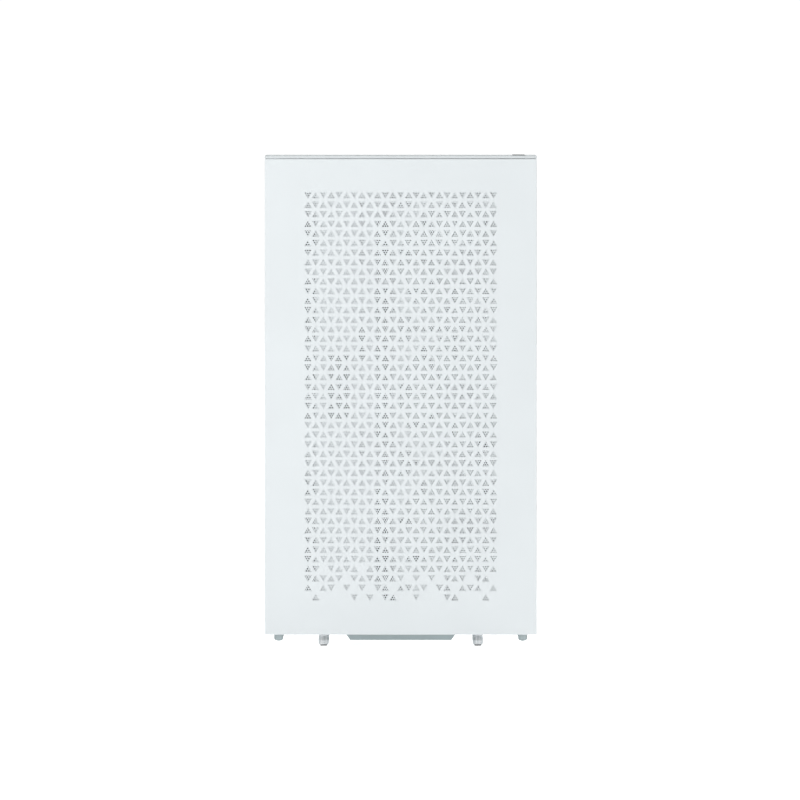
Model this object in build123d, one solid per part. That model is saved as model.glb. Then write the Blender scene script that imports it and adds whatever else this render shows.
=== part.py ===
from build123d import *
import math
import os

# A small vertical desktop computer with its panels, chassis and working parts.
# Millimetres. +X is the case's front, -X its rear, -Y its left side, +Z up.
# The origin is on the floor under the middle of the case.

# ---------------------------------------------------------------- case
LENGTH = 254.0
WIDTH = 200.0
HEIGHT = 458.0
HALF_LENGTH = LENGTH / 2
HALF_WIDTH = WIDTH / 2
PANEL_BOTTOM = 10.5
PANEL_TOP = 455.0
PANEL_STEEL = 1.0
PANEL_BEND = 0.9
SIDE_FLANGE = 8.0
FRONT_FLANGE = 6.0
PANEL_GAP = 0.3

# Triangular punching of the panels
TRIANGLE_SIDE = 6.6
TRIANGLE_HEIGHT = TRIANGLE_SIDE * math.sqrt(3) / 2
COLUMN_PITCH = 7.215
ROW_PITCH = 8.945
TOP_ROW = 421.0
ROWS = 43
SIDE_COLUMNS = 25
FRONT_COLUMNS = 17
COVER_COLUMNS = 21
COVER_ROWS = 13
# The punching thins out over the lowest rows: # is a hole.
FADING_ROWS = (
    "##.####.#################",
    "#####.#######.#.#.###.##.",
    "#.##.#.#.##.####.##.###.#",
    ".#....#.#.##..#...##...#.",
)

# Dust filters behind the panels
FILTER_THICKNESS = 1.0
FILTER_Z = (36.0, 430.0)
SIDE_FILTER_HALF = 97.0
FRONT_FILTER_HALF = 63.0

# Chassis
CHASSIS_STEEL = 1.2
CHASSIS_HALF_WIDTH = 88.5
BASE_Z = (12.0, 13.2)
TOP_Z = (449.5, 450.7)
LIP = 3.0
REAR_X = (-120.0, -118.8)
FRONT_X = (118.0, 119.2)
MIDDLE_Y = (-62.0, -60.8)
REAR_SLOTS_X = (-93.0, -80.0)
FAN_SLOTS_X = (-23.0, -9.0)
CABLE_COVER_X = (-79.0, -25.0)

# Ball studs on the panels and the sockets that hold them
STUD_BALL = 2.75
STUD_SHANK = 1.8
STUD_DISC = 4.0
SOCKET_BORE = 3.1
SOCKET_HALF = 6.0
SIDE_STUD_X = 108.0
SIDE_STUD_Z = (24.0, 440.0)
SIDE_BALL_Y = 84.0
FRONT_STUD_Y = 70.0
FRONT_STUD_Z = (36.0, 425.0)
FRONT_BALL_X = 112.0
COVER_STUD_X = 94.0
COVER_STUD_Y = 78.0
COVER_BALL_Z = 445.5

# Feet
FOOT_X = 72.0
FOOT_Y = 80.0
STUB_X = 114.0
STUB_Y = 80.0

# Bottom filter tray
TRAY_Z = (6.5, 9.6)
TRAY_HALF = 45.1
TRAY_Y = (-88.3, 80.0)

# Power button and sockets in the top cover
BUTTON_XY = (110.0, -62.0)
BUTTON_SIZE = 12.0
BUTTON_PROUD = 0.8
AUDIO_Y = -46.0
USB_C_Y = -32.0
USB_A_Y = (-12.0, 10.0)
IO_BOARD_Z = (441.0, 442.6)
COVER_GAP = 0.4

# Fans: (frame side, bore radius, depth, screw spacing, hub radius)
FAN_120 = (120.0, 57.5, 25.0, 105.0, 20.0)
FAN_92 = (92.0, 43.5, 25.0, 82.5, 17.0)
SIDE_FAN_X = 56.5
SIDE_FAN_Z = {"low": 108.5, "middle": 233.5, "high": 358.5}
REAR_FAN_YZ = (37.0, 265.0)
SHAFT_RADIUS = 1.5
SHAFT_CLEARANCE = 0.05
BLADE_THICKNESS = 1.6

# Main board, 170 mm square, with its parts facing +Y
BOARD_X = (-117.4, 52.6)
BOARD_Y = (-54.5, -52.9)
BOARD_Z = (195.0, 365.0)
IO_OPENING_Y = (-57.0, -12.55)
IO_OPENING_Z = (193.5, 352.25)
REAR_USB_Z = (206.0, 223.0, 240.0)
REAR_JACK_Z = (312.5, 325.5, 338.5)
CPU_X = -38.0
CPU_Z = 265.0

# Graphics card, lying flat above the main board
CARD_Z = (357.2, 358.8)
CARD_X = (-117.8, 78.0)
CARD_Y = (-41.0, 64.0)
CARD_FAN_X = {"rear": -57.0, "front": 35.0}
CARD_FAN_Y = 12.0
CARD_FAN_RADIUS = 42.0
SLOT_Z = (354.5, 393.0)

# Power supply, fan towards the right panel
PSU_X = (-118.8, -18.8)
PSU_Y = (14.0, 77.5)
PSU_Z = (24.0, 149.0)
PSU_STEEL = 0.8
PSU_FAN_RADIUS = 42.0
INLET_YZ = (37.5, 50.0)
ROCKER_YZ = (62.0, 50.0)
ROCKER_TILT = 7.0

os.makedirs("parts", exist_ok=True)


# ---------------------------------------------------------------- helpers
def block(x, y, z):
    """Box between the low and high value of each axis."""
    size = [high - low for low, high in (x, y, z)]
    centre = [(low + high) / 2 for low, high in (x, y, z)]
    return Pos(*centre) * Box(*size)


def rod(start, end, radius):
    """Round bar from one point to another."""
    direction = Vector(*end) - Vector(*start)
    return Solid.make_cylinder(radius, direction.length, Plane(origin=start, z_dir=direction))


def tube(points, radius, bends):
    """Cable along straight runs joined by arcs."""
    path = FilletPolyline(*points, radius=bends)
    section = Plane(origin=path @ 0, z_dir=path % 0) * Circle(radius)
    print("cable radius", radius, "bends", bends, "length", round(path.length, 1))
    return sweep(section, path=path)


def rectangle(u, v):
    """Closed outline between the low and high value of both axes."""
    corners = [(u[0], v[0]), (u[1], v[0]), (u[1], v[1]), (u[0], v[1])]
    return Wire.make_polygon(corners)


def circle(u, v, radius):
    return Wire.make_circle(radius, Plane(origin=(u, v, 0)))


def punched(plane, outline, holes, thickness):
    """Flat plate with holes, thickened along the plane's normal."""
    return plane * extrude(Face(outline, holes), thickness, dir=(0, 0, 1))


def facing_x(x):
    """Plane whose local axes are Y and Z, with +X as normal."""
    return Plane(origin=(x, 0, 0), x_dir=(0, 1, 0), z_dir=(1, 0, 0))


def facing_left(y):
    """Plane whose local axes are X and Z, with -Y as normal."""
    return Plane(origin=(0, y, 0), x_dir=(1, 0, 0), z_dir=(0, -1, 0))


def around(centre, reach):
    return (centre - reach, centre + reach)


def save(name, *pieces):
    """Write a sub-part, each piece as its own solid or solids."""
    solids = [solid for piece in pieces for solid in piece.solids()]
    export_step(Compound(solids), f"parts/{name}.step")


# ---------------------------------------------------------------- panels
def triangle(u, v, upward):
    """Triangular hole whose height is centred on v."""
    rise = TRIANGLE_HEIGHT / 2 if upward else -TRIANGLE_HEIGHT / 2
    half = TRIANGLE_SIDE / 2
    return Wire.make_polygon([(u - half, v - rise), (u + half, v - rise), (u, v + rise)])


def fading_punching(columns):
    """Triangles of a mesh panel; neighbours point opposite ways."""
    holes = []
    skipped = (SIDE_COLUMNS - columns) // 2
    for row in range(ROWS):
        fading = row - (ROWS - len(FADING_ROWS))
        for column in range(columns):
            if fading >= 0 and FADING_ROWS[fading][column + skipped] != "#":
                continue
            u = (column - (columns - 1) / 2) * COLUMN_PITCH
            v = TOP_ROW - row * ROW_PITCH
            holes.append(triangle(u, v, (row + column) % 2 == 1))
    return holes


def folded_edge(u, v, depth, steel, bend):
    """Shallow tray of folded sheet, open at the back, with rounded outer bends."""
    tray = extrude(Face(rectangle(u, v)), depth, dir=(0, 0, -1))
    front = tray.faces().sort_by(Axis.Z)[-1]
    tray = fillet(tray.edges().filter_by(Axis.Z) + front.edges(), bend)
    inner_u = (u[0] + steel, u[1] - steel)
    inner_v = (v[0] + steel, v[1] - steel)
    pocket = extrude(Face(rectangle(inner_u, inner_v)), depth, dir=(0, 0, -1))
    return tray - Pos(0, 0, -steel) * pocket


def mesh_panel(plane, half_width, columns, flange):
    """Punched sheet with its four edges folded back."""
    field_u = around(0, (columns + 1) * COLUMN_PITCH / 2)
    field_v = (TOP_ROW - ROWS * ROW_PITCH, TOP_ROW + ROW_PITCH)
    shell = folded_edge(around(0, half_width), (PANEL_BOTTOM, PANEL_TOP),
                        flange + PANEL_STEEL, PANEL_STEEL, PANEL_BEND)
    shell -= extrude(Face(rectangle(field_u, field_v)), PANEL_STEEL, dir=(0, 0, -1))
    punching = Face(rectangle(field_u, field_v), fading_punching(columns))
    return plane * (shell + extrude(punching, PANEL_STEEL, dir=(0, 0, -1)))


def stud(foot, direction, length):
    """Ball stud turned in one piece: disc against the panel, shank and ball."""
    neck = length - math.sqrt(STUD_BALL ** 2 - STUD_SHANK ** 2)
    side = Polyline((0, 0), (STUD_DISC, 0), (STUD_DISC, 1.0), (STUD_SHANK, 1.0), (STUD_SHANK, neck))
    cap = ThreePointArc((STUD_SHANK, neck), (STUD_BALL, length), (0, length + STUD_BALL))
    outline = Curve() + [side, cap, Line((0, length + STUD_BALL), (0, 0))]
    turned_stud = revolve(make_face(Plane.XZ * outline), Axis.Z)
    return Plane(origin=foot, z_dir=direction) * turned_stud


def make_side_panel(name, side):
    """side is -1 for the left panel and +1 for the right one."""
    outer = side * HALF_WIDTH
    inner = outer - side * PANEL_STEEL
    plane = Plane(origin=(0, outer, 0), x_dir=(-side, 0, 0), z_dir=(0, side, 0))
    save(name + "_panel", mesh_panel(plane, HALF_LENGTH, SIDE_COLUMNS, SIDE_FLANGE))
    filter_y = sorted((inner, inner - side * FILTER_THICKNESS))
    save(name + "_filter", block((-SIDE_FILTER_HALF, SIDE_FILTER_HALF), filter_y, FILTER_Z))
    spots = [(x, z) for x in (-SIDE_STUD_X, SIDE_STUD_X) for z in SIDE_STUD_Z]
    reach = HALF_WIDTH - PANEL_STEEL - SIDE_BALL_Y
    save(name + "_panel_studs", *[stud((x, inner, z), (0, -side, 0), reach) for x, z in spots])


def make_front_panel():
    half = HALF_WIDTH - PANEL_STEEL - SIDE_FLANGE - PANEL_GAP
    inner = HALF_LENGTH - PANEL_STEEL
    save("front_panel", mesh_panel(facing_x(HALF_LENGTH), half, FRONT_COLUMNS, FRONT_FLANGE))
    filter_x = (inner - FILTER_THICKNESS, inner)
    save("front_filter", block(filter_x, (-FRONT_FILTER_HALF, FRONT_FILTER_HALF), FILTER_Z))
    spots = [(y, z) for y in (-FRONT_STUD_Y, FRONT_STUD_Y) for z in FRONT_STUD_Z]
    reach = inner - FRONT_BALL_X
    save("front_panel_studs", *[stud((inner, y, z), (-1, 0, 0), reach) for y, z in spots])


def port_openings(gap):
    """Outlines of the top sockets and the button, wider than them by gap."""
    x = BUTTON_XY[0]
    outlines = [rectangle(around(x, 6 + gap), around(BUTTON_XY[1], 6 + gap))]
    outlines.append(circle(x, AUDIO_Y, 3.5 + gap))
    outlines.append(rectangle(around(x, 1.7 + gap), around(USB_C_Y, 4.6 + gap)))
    for y in USB_A_Y:
        outlines.append(rectangle(around(x, 2.9 + gap), around(y, 6.6 + gap)))
    return outlines


def make_top_cover():
    """Shallow lid with a downturned rim and a punched field."""
    rim_low = PANEL_TOP + PANEL_GAP
    skin_low = HEIGHT - CHASSIS_STEEL
    x = (-HALF_LENGTH, HALF_LENGTH)
    y = (-HALF_WIDTH, HALF_WIDTH)
    holes = port_openings(COVER_GAP)
    for row in range(COVER_ROWS):
        for column in range(COVER_COLUMNS):
            u = (column - (COVER_COLUMNS - 1) / 2) * COLUMN_PITCH - 12
            v = (row - (COVER_ROWS - 1) / 2) * ROW_PITCH
            holes.append(triangle(u, v, (row + column) % 2 == 1))
    field = rectangle(around(0, HALF_LENGTH - 6.0), around(0, HALF_WIDTH - 6.0))
    lid = folded_edge(x, y, HEIGHT - rim_low, CHASSIS_STEEL, PANEL_BEND)
    lid = Pos(0, 0, HEIGHT) * (lid - extrude(Face(field), CHASSIS_STEEL, dir=(0, 0, -1)))
    save("top_cover", lid + punched(Plane.XY.offset(skin_low), field, holes, CHASSIS_STEEL))
    spots = [(a * COVER_STUD_X, b * COVER_STUD_Y) for a in (-1, 1) for b in (-1, 1)]
    reach = skin_low - COVER_BALL_Z
    save("top_cover_studs", *[stud((u, v, skin_low), (0, 0, -1), reach) for u, v in spots])


def make_panel_sockets():
    """Plastic blocks that the ball studs press into."""
    sockets = []
    for side in (-1, 1):
        y = sorted((side * 79.0, side * 88.0))
        for z in SIDE_STUD_Z:
            for x, span in ((-SIDE_STUD_X, (REAR_X[1], -102.0)), (SIDE_STUD_X, (102.0, FRONT_X[0]))):
                bore = rod((x, y[0], z), (x, y[1], z), SOCKET_BORE)
                sockets.append(block(span, y, around(z, SOCKET_HALF)) - bore)
        for z in FRONT_STUD_Z:
            v = side * FRONT_STUD_Y
            bore = rod((106.0, v, z), (FRONT_X[0], v, z), SOCKET_BORE)
            body = block((106.0, FRONT_X[0]), around(v, SOCKET_HALF), around(z, SOCKET_HALF))
            sockets.append(body - bore)
        for x in (-COVER_STUD_X, COVER_STUD_X):
            v = side * COVER_STUD_Y
            bore = rod((x, v, 440.0), (x, v, TOP_Z[0]), SOCKET_BORE)
            body = block(around(x, SOCKET_HALF), around(v, SOCKET_HALF), (440.0, TOP_Z[0]))
            sockets.append(body - bore)
    save("panel_sockets", *sockets)


# ---------------------------------------------------------------- chassis
def lipped(plate, z, lip):
    """Adds a folded lip along both long edges of a horizontal plate."""
    edge = CHASSIS_HALF_WIDTH
    low, high = sorted((z, z + lip))
    for side in (-1, 1):
        y = sorted((side * edge, side * (edge - CHASSIS_STEEL)))
        plate += block((REAR_X[1], FRONT_X[0]), y, (low, high))
    return plate


def make_base_plate():
    """Floor of the chassis with air slots over the filter tray."""
    outline = rectangle((REAR_X[0], FRONT_X[1]), around(0, CHASSIS_HALF_WIDTH))
    holes = []
    for row in range(9):
        for column in range(5):
            u = (column - 2) * 15.5
            v = (row - 4) * 14.0
            holes.append(rectangle(around(u, 6.0), around(v, 4.5)))
    plate = punched(Plane.XY.offset(BASE_Z[0]), outline, holes, CHASSIS_STEEL)
    save("base_plate", lipped(plate, BASE_Z[1], LIP))


def make_top_plate():
    """Roof of the chassis, open over the graphics card and the top sockets."""
    outline = rectangle((REAR_X[0], FRONT_X[1]), around(0, CHASSIS_HALF_WIDTH))
    holes = [rectangle((102.0, 117.0), (-70.0, 20.0))]
    for u in (-70.0, -24.0, 22.0, 68.0):
        for v in (-30.0, 30.0):
            holes.append(rectangle(around(u, 20.0), around(v, 22.0)))
    for u in (-COVER_STUD_X, COVER_STUD_X):
        for v in (-COVER_STUD_Y, COVER_STUD_Y):
            holes.append(circle(u, v, SOCKET_BORE + 0.2))
    plate = punched(Plane.XY.offset(TOP_Z[0]), outline, holes, CHASSIS_STEEL)
    save("top_plate", lipped(plate, TOP_Z[0], -LIP))


def make_front_frame():
    """Upright plate behind the front mesh with two tall windows."""
    outline = rectangle(around(0, CHASSIS_HALF_WIDTH), (BASE_Z[1], TOP_Z[0]))
    holes = [rectangle((-54.0, 76.0), (50.0, 224.0)), rectangle((-54.0, 76.0), (238.0, 410.0))]
    for v in (-FRONT_STUD_Y, FRONT_STUD_Y):
        for z in FRONT_STUD_Z:
            holes.append(circle(v, z, SOCKET_BORE + 0.2))
    save("front_frame", punched(facing_x(FRONT_X[0]), outline, holes, CHASSIS_STEEL))


def round_grille(u, v, reach, hole, pitch):
    """Round holes on a triangular grid inside a circle."""
    holes = []
    steps = int(reach / pitch) + 1
    for row in range(-steps, steps + 1):
        for column in range(-steps, steps + 1):
            across = (column + (row % 2) / 2) * pitch
            up = row * pitch * math.sqrt(3) / 2
            if math.hypot(across, up) <= reach - hole:
                holes.append(circle(u + across, v + up, hole))
    return holes


def make_rear_wall():
    """Back plate with the openings for sockets, card, fan and power supply."""
    outline = rectangle(around(0, CHASSIS_HALF_WIDTH), (BASE_Z[1], TOP_Z[0]))
    holes = [rectangle(IO_OPENING_Y, IO_OPENING_Z)]
    holes.append(rectangle((-50.0, 56.0), (358.0, 372.5)))
    holes.append(rectangle((-50.0, 56.0), (376.5, 391.0)))
    holes.append(rectangle((PSU_Y[0] + 8, PSU_Y[1] - 6), (PSU_Z[0] + 7, PSU_Z[1] - 7)))
    holes += round_grille(*REAR_FAN_YZ, 44.0, 2.6, 6.4)
    for step in range(9):
        holes.append(rectangle((-81.0, -69.0), around(150.0 + step * 26.0, 9.0)))
    for step in range(12):
        holes.append(rectangle(around(-50.0 + step * 9.0, 2.8), (408.0, 436.0)))
    for step in range(7):
        holes.append(rectangle(around(-50.0 + step * 9.0, 2.8), (40.0, 120.0)))
    save("rear_wall", punched(facing_x(REAR_X[0]), outline, holes, CHASSIS_STEEL))


def make_middle_wall():
    """Upright wall between the side fans and the main board."""
    low, high = BASE_Z[1], TOP_Z[0]
    notch_x, notch_z = 94.0, 434.0
    outline = Wire.make_polygon([(REAR_X[1], low), (FRONT_X[0], low), (FRONT_X[0], notch_z),
                                 (notch_x, notch_z), (notch_x, high), (REAR_X[1], high)])
    holes = [circle(SIDE_FAN_X, z, FAN_120[1]) for z in SIDE_FAN_Z.values()]
    holes.append(rectangle((-78.0, -32.0), (208.0, 302.0)))
    for low_edge in (60.0, 154.0, 248.0, 342.0):
        holes.append(rectangle(FAN_SLOTS_X, (low_edge, low_edge + 86.0)))
    for slot_z in ((46.0, 122.0), (140.0, 186.0), (210.0, 272.0), (284.0, 346.0), (368.0, 432.0)):
        holes.append(rectangle(REAR_SLOTS_X, slot_z))
    for lower, upper in (("low", "middle"), ("middle", "high")):
        between = (SIDE_FAN_Z[lower] + SIDE_FAN_Z[upper]) / 2
        holes.append(rectangle((0.0, 90.0), around(between, 2.4)))
    save("middle_wall", punched(facing_left(MIDDLE_Y[1]), outline, holes, CHASSIS_STEEL))


def make_cable_cover():
    """Channel beside the fans that hides the cables, with a window and slots."""
    web_y = -88.8
    x = CABLE_COVER_X
    z = (28.0, 438.0)
    holes = [rectangle((-69.0, -47.0), (211.0, 273.0))]
    for low in (140.0, 265.0, 352.0):
        holes.append(rectangle((-39.5, -32.5), (low, low + 62.0)))
    cover = punched(facing_left(web_y), rectangle(x, z), holes, CHASSIS_STEEL)
    for edge in ((x[0], x[0] + CHASSIS_STEEL), (x[1] - CHASSIS_STEEL, x[1])):
        cover += block(edge, (web_y, MIDDLE_Y[0]), z)
    save("cable_cover", cover)


# ---------------------------------------------------------------- feet and tray
def turned(x, y, profile):
    """Solid of revolution about a vertical axis, from (radius, height) points."""
    points = [(0, profile[0][1])] + list(profile) + [(0, profile[-1][1])]
    outline = Plane.XZ * Polyline(*points, close=True)
    return Pos(x, y, 0) * revolve(make_face(outline), Axis.Z)


def make_feet():
    tall = [(3.6, 1.2), (4.6, 1.2), (5.05, 1.8), (5.05, 7.6), (4.7, 8.6), (4.0, 9.2), (4.0, 12.0)]
    pad = [(3.9, 0.0), (4.4, 0.4), (4.4, 1.2)]
    stub = [(3.0, 4.4), (4.0, 5.0), (4.3, 6.2), (4.3, 12.0)]
    tall_spots = [(a * FOOT_X, b * FOOT_Y) for a in (-1, 1) for b in (-1, 1)]
    stub_spots = [(a * STUB_X, b * STUB_Y) for a in (-1, 1) for b in (-1, 1)]
    save("tall_feet", *[turned(x, y, tall) for x, y in tall_spots])
    save("foot_pads", *[turned(x, y, pad) for x, y in tall_spots])
    save("stub_feet", *[turned(x, y, stub) for x, y in stub_spots])


def make_filter_tray():
    """Slide-out bottom filter between two sloping rails."""
    ledge_low = 5.4
    rail = [(42.0, ledge_low), (47.25, ledge_low), (51.6, BASE_Z[0]), (45.5, BASE_Z[0]),
            (45.5, 6.2), (42.0, 6.2)]
    rails = []
    for side in (-1, 1):
        outline = Wire.make_polygon([(side * u, v) for u, v in rail])
        rails.append(Plane(origin=(0, 82.0, 0), x_dir=(1, 0, 0), z_dir=(0, -1, 0))
                     * extrude(Face(outline), 170.0, dir=(0, 0, 1)))
    save("filter_rails", *rails)
    frame = block(around(0, TRAY_HALF), TRAY_Y, TRAY_Z)
    window_y = (-80.0, 74.0)
    frame -= block(around(0, 40.0), window_y, TRAY_Z)
    for y in (-42.0, -3.0, 36.0):
        frame += block(around(0, 40.0), around(y, 1.5), (TRAY_Z[0], 7.6))
    lip = Wire.make_polygon([(-47.25, ledge_low), (47.25, ledge_low), (50.7, 10.3), (-50.7, 10.3)])
    frame += facing_left(TRAY_Y[0]) * extrude(Face(lip), 3.2, dir=(0, 0, 1))
    save("filter_tray", frame)
    save("filter_tray_mesh", block(around(0, 40.0), window_y, (7.6, 8.2)))


# ---------------------------------------------------------------- top button and sockets
def make_power_button():
    """Square cap on a stem, standing a little above the cover."""
    x, y = BUTTON_XY
    cap = block(around(x, BUTTON_SIZE / 2), around(y, BUTTON_SIZE / 2), (453.8, HEIGHT + BUTTON_PROUD))
    cap = fillet(cap.edges().filter_by(Axis.Z), 2.0)
    cap = fillet(cap.faces().sort_by(Axis.Z)[-1].edges(), 0.5)
    stem = rod((x, y, 452.0), (x, y, 454.0), 2.0)
    save("power_button", cap + stem)


def make_front_io():
    """Small board under the top plate with the switch and the top sockets."""
    x = BUTTON_XY[0]
    board = block((97.0, 118.0), (-71.5, 30.0), IO_BOARD_Z)
    for post in ((99.5, -66.0), (99.5, 26.0), (114.5, 26.0)):
        board += rod((*post, IO_BOARD_Z[1]), (*post, TOP_Z[0]), 2.0)
    save("front_io_board", board)
    low = IO_BOARD_Z[1]
    high = HEIGHT - 0.2
    switch = block(around(x, 5.5), around(BUTTON_XY[1], 5.5), (low, 449.0))
    switch += rod((x, BUTTON_XY[1], 449.0), (x, BUTTON_XY[1], 450.8), 1.8)
    audio = rod((x, AUDIO_Y, low), (x, AUDIO_Y, high), 3.5)
    audio -= rod((x, AUDIO_Y, high - 12), (x, AUDIO_Y, high), 1.8)
    usb_c = block(around(x, 1.7), around(USB_C_Y, 4.6), (low, high))
    usb_c -= block(around(x, 1.3), around(USB_C_Y, 4.2), (high - 7, high))
    usb_c += block(around(x, 0.35), around(USB_C_Y, 3.3), (high - 7, high - 1))
    ports = [switch, audio, usb_c]
    for y in USB_A_Y:
        shell = block(around(x, 2.9), around(y, 6.6), (low, high))
        shell -= block(around(x, 2.5), around(y, 6.2), (high - 9, high))
        shell += block((x - 2.0, x - 0.4), around(y, 5.6), (high - 9, high - 1))
        ports.append(shell)
    save("front_io_ports", *ports)


# ---------------------------------------------------------------- fans
def blade(hub, tip, axial):
    """One twisted blade, longer than needed at both ends."""
    sections = []
    for radius, pitch, lean in ((0.8 * hub, 50, 0.0), ((hub + tip) / 2, 38, 0.1), (tip + 6, 27, 0.3)):
        chord = axial / math.sin(math.radians(pitch))
        plane = Plane(origin=(radius, lean * (tip - hub), 0), x_dir=(0, 1, 0), z_dir=(1, 0, 0))
        sections.append(plane * Rot(0, 0, pitch) * Rectangle(chord, BLADE_THICKNESS))
    return loft(sections)


def fan_rotor(hub, tip, depth, blades):
    """Fan wheel about local Z, from 0 to depth, with its shaft behind."""
    middle = depth / 2
    ring = Cylinder(tip, depth - 1) - Cylinder(hub - 1, depth - 1)
    one = blade(hub, tip, depth - 4) & ring
    cap = Cylinder(hub, depth)
    wheel = fillet(cap.edges().sort_by(Axis.Z)[0], 2.0)
    for step in range(blades):
        wheel += Rot(0, 0, 360 / blades * step) * one
    wheel += Pos(0, 0, middle + 1) * Cylinder(SHAFT_RADIUS, 2.4)
    return Pos(0, 0, middle) * wheel


def motor_base(radius, thickness):
    """Disc behind a fan wheel with the bearing for its shaft."""
    return Cylinder(radius, thickness) - Cylinder(SHAFT_RADIUS + SHAFT_CLEARANCE, thickness)


def fan_frame(fan):
    """Square fan frame about local Z: open at 0, spokes and motor at its depth."""
    size, bore, depth, spacing, hub = fan
    skin = 3.5
    ear = extrude(RectangleRounded(size, size, 5), skin)
    frame = ear + Pos(0, 0, depth - skin) * ear + Pos(0, 0, depth / 2) * Cylinder(bore + 1.9, depth)
    frame -= Pos(0, 0, depth / 2) * Cylinder(bore, depth)
    for a in (-1, 1):
        for b in (-1, 1):
            frame -= Pos(a * spacing / 2, b * spacing / 2, depth / 2) * Cylinder(2.2, depth)
    spoke_low = depth - 2.4
    reach = (bore + 1 + hub) / 2
    for angle in (20, 110, 200, 290):
        spoke = Pos(reach, 0, spoke_low + 1.2) * Box(bore + 1 - hub + 4, 4.0, 2.4)
        frame += Rot(0, 0, angle) * spoke
    return frame + Pos(0, 0, depth - 1.6) * motor_base(hub + 0.5, 3.2)


def make_fan(name, plane, fan, blades):
    """Frame and wheel of a square fan, its open side at the plane's origin."""
    _, bore, depth, _, hub = fan
    save(name + "_frame", plane * fan_frame(fan))
    wheel = Pos(0, 0, 0.8) * fan_rotor(hub, bore - 1.2, depth - 4.6, blades)
    save(name + "_rotor", plane * wheel)


def make_fans():
    side_y = MIDDLE_Y[0] - FAN_120[2]
    for name, z in SIDE_FAN_Z.items():
        plane = Plane(origin=(SIDE_FAN_X, side_y, z), x_dir=(1, 0, 0), z_dir=(0, 1, 0))
        make_fan(f"side_fan_{name}", plane, FAN_120, 9)
    y, z = REAR_FAN_YZ
    plane = Plane(origin=(REAR_X[1] + FAN_92[2], y, z), x_dir=(0, 1, 0), z_dir=(-1, 0, 0))
    make_fan("rear_fan", plane, FAN_92, 7)
    plane = Plane(origin=(11.0, y, z), x_dir=(0, 1, 0), z_dir=(-1, 0, 0))
    make_fan("cooler_fan", plane, FAN_92, 7)


# ---------------------------------------------------------------- main board
def on_board(x, z, height, base=BOARD_Y[1]):
    """Box standing on the board's face."""
    return block(x, (base, base + height), z)


def make_main_board():
    board = block(BOARD_X, BOARD_Y, BOARD_Z)
    save("main_board", board)
    # Expansion slot, memory sockets, processor socket and plugs' headers
    slot = on_board((-75.0, 14.0), (354.2, 361.8), 11.0)
    slot -= block((-73.0, 12.0), (-50.0, -41.9), (357.1, 358.9))
    sockets = [slot]
    for x in (22.0, 31.5):
        memory = on_board(around(x, 3.4), (203.0, 342.0), 8.0)
        memory -= block(around(x, 0.8), (-50.9, -44.9), (205.8, 339.2))
        sockets.append(memory)
    sockets.append(on_board(around(CPU_X, 27.0), around(CPU_Z, 27.0), 3.3))
    sockets.append(on_board((40.0, 50.0), (235.0, 287.0), 12.9))
    sockets.append(on_board((-90.0, -73.0), (198.0, 208.0), 12.9))
    sockets.append(on_board((44.0, 52.0), (293.0, 313.0), 9.0))
    for z in (206.0, 222.0):
        sockets.append(on_board((38.0, 52.0), (z, z + 8.0), 7.0))
    sockets.append(on_board(around(CPU_X, 18.0), around(CPU_Z, 18.0), 3.0, BOARD_Y[1] + 3.3))
    save("board_sockets_and_processor", *sockets)
    save("board_heatsinks", *board_heatsinks())
    drive = on_board((-76.0, 4.0), (325.0, 347.0), 2.4, BOARD_Y[1])
    cover = on_board((-74.0, 2.0), (325.0, 347.0), 5.0, BOARD_Y[1] + 2.4)
    for step in range(7):
        z = 327.5 + step * 2.9
        cover -= block((-74.0, 2.0), (BOARD_Y[1] + 4.4, BOARD_Y[1] + 7.4), (z, z + 1.4))
    save("m2_drive", drive, cover)


def board_heatsinks():
    """Finned blocks on the supply stage and the chipset."""
    tall = on_board((-96.0, -78.0), (222.0, 322.0), 26.0)
    for step in range(13):
        z = 227.0 + step * 7.2
        tall -= block((-96.0, -78.0), (-45.0, -26.9), (z, z + 3.4))
    low = on_board((-30.0, 10.0), (201.0, 221.0), 9.0)
    for step in range(9):
        x = -28.0 + step * 4.2
        low -= block((x, x + 2.0), (-48.0, -43.9), (201.0, 221.0))
    return [tall, low]


def rear_port(y, z, depth, tongue):
    """Shielded socket reaching out through the rear plate."""
    outer = (-121.5, -100.0)
    wall = 0.6
    shell = block(outer, y, z)
    shell -= block((outer[0], outer[0] + depth), (y[0] + wall, y[1] - wall), (z[0] + wall, z[1] - wall))
    if tongue:
        centre = (y[0] + y[1]) / 2
        shell += block((outer[0] + 2, outer[0] + depth), around(centre, 0.9), (z[0] + 1.6, z[1] - 1.6))
    return shell


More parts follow.
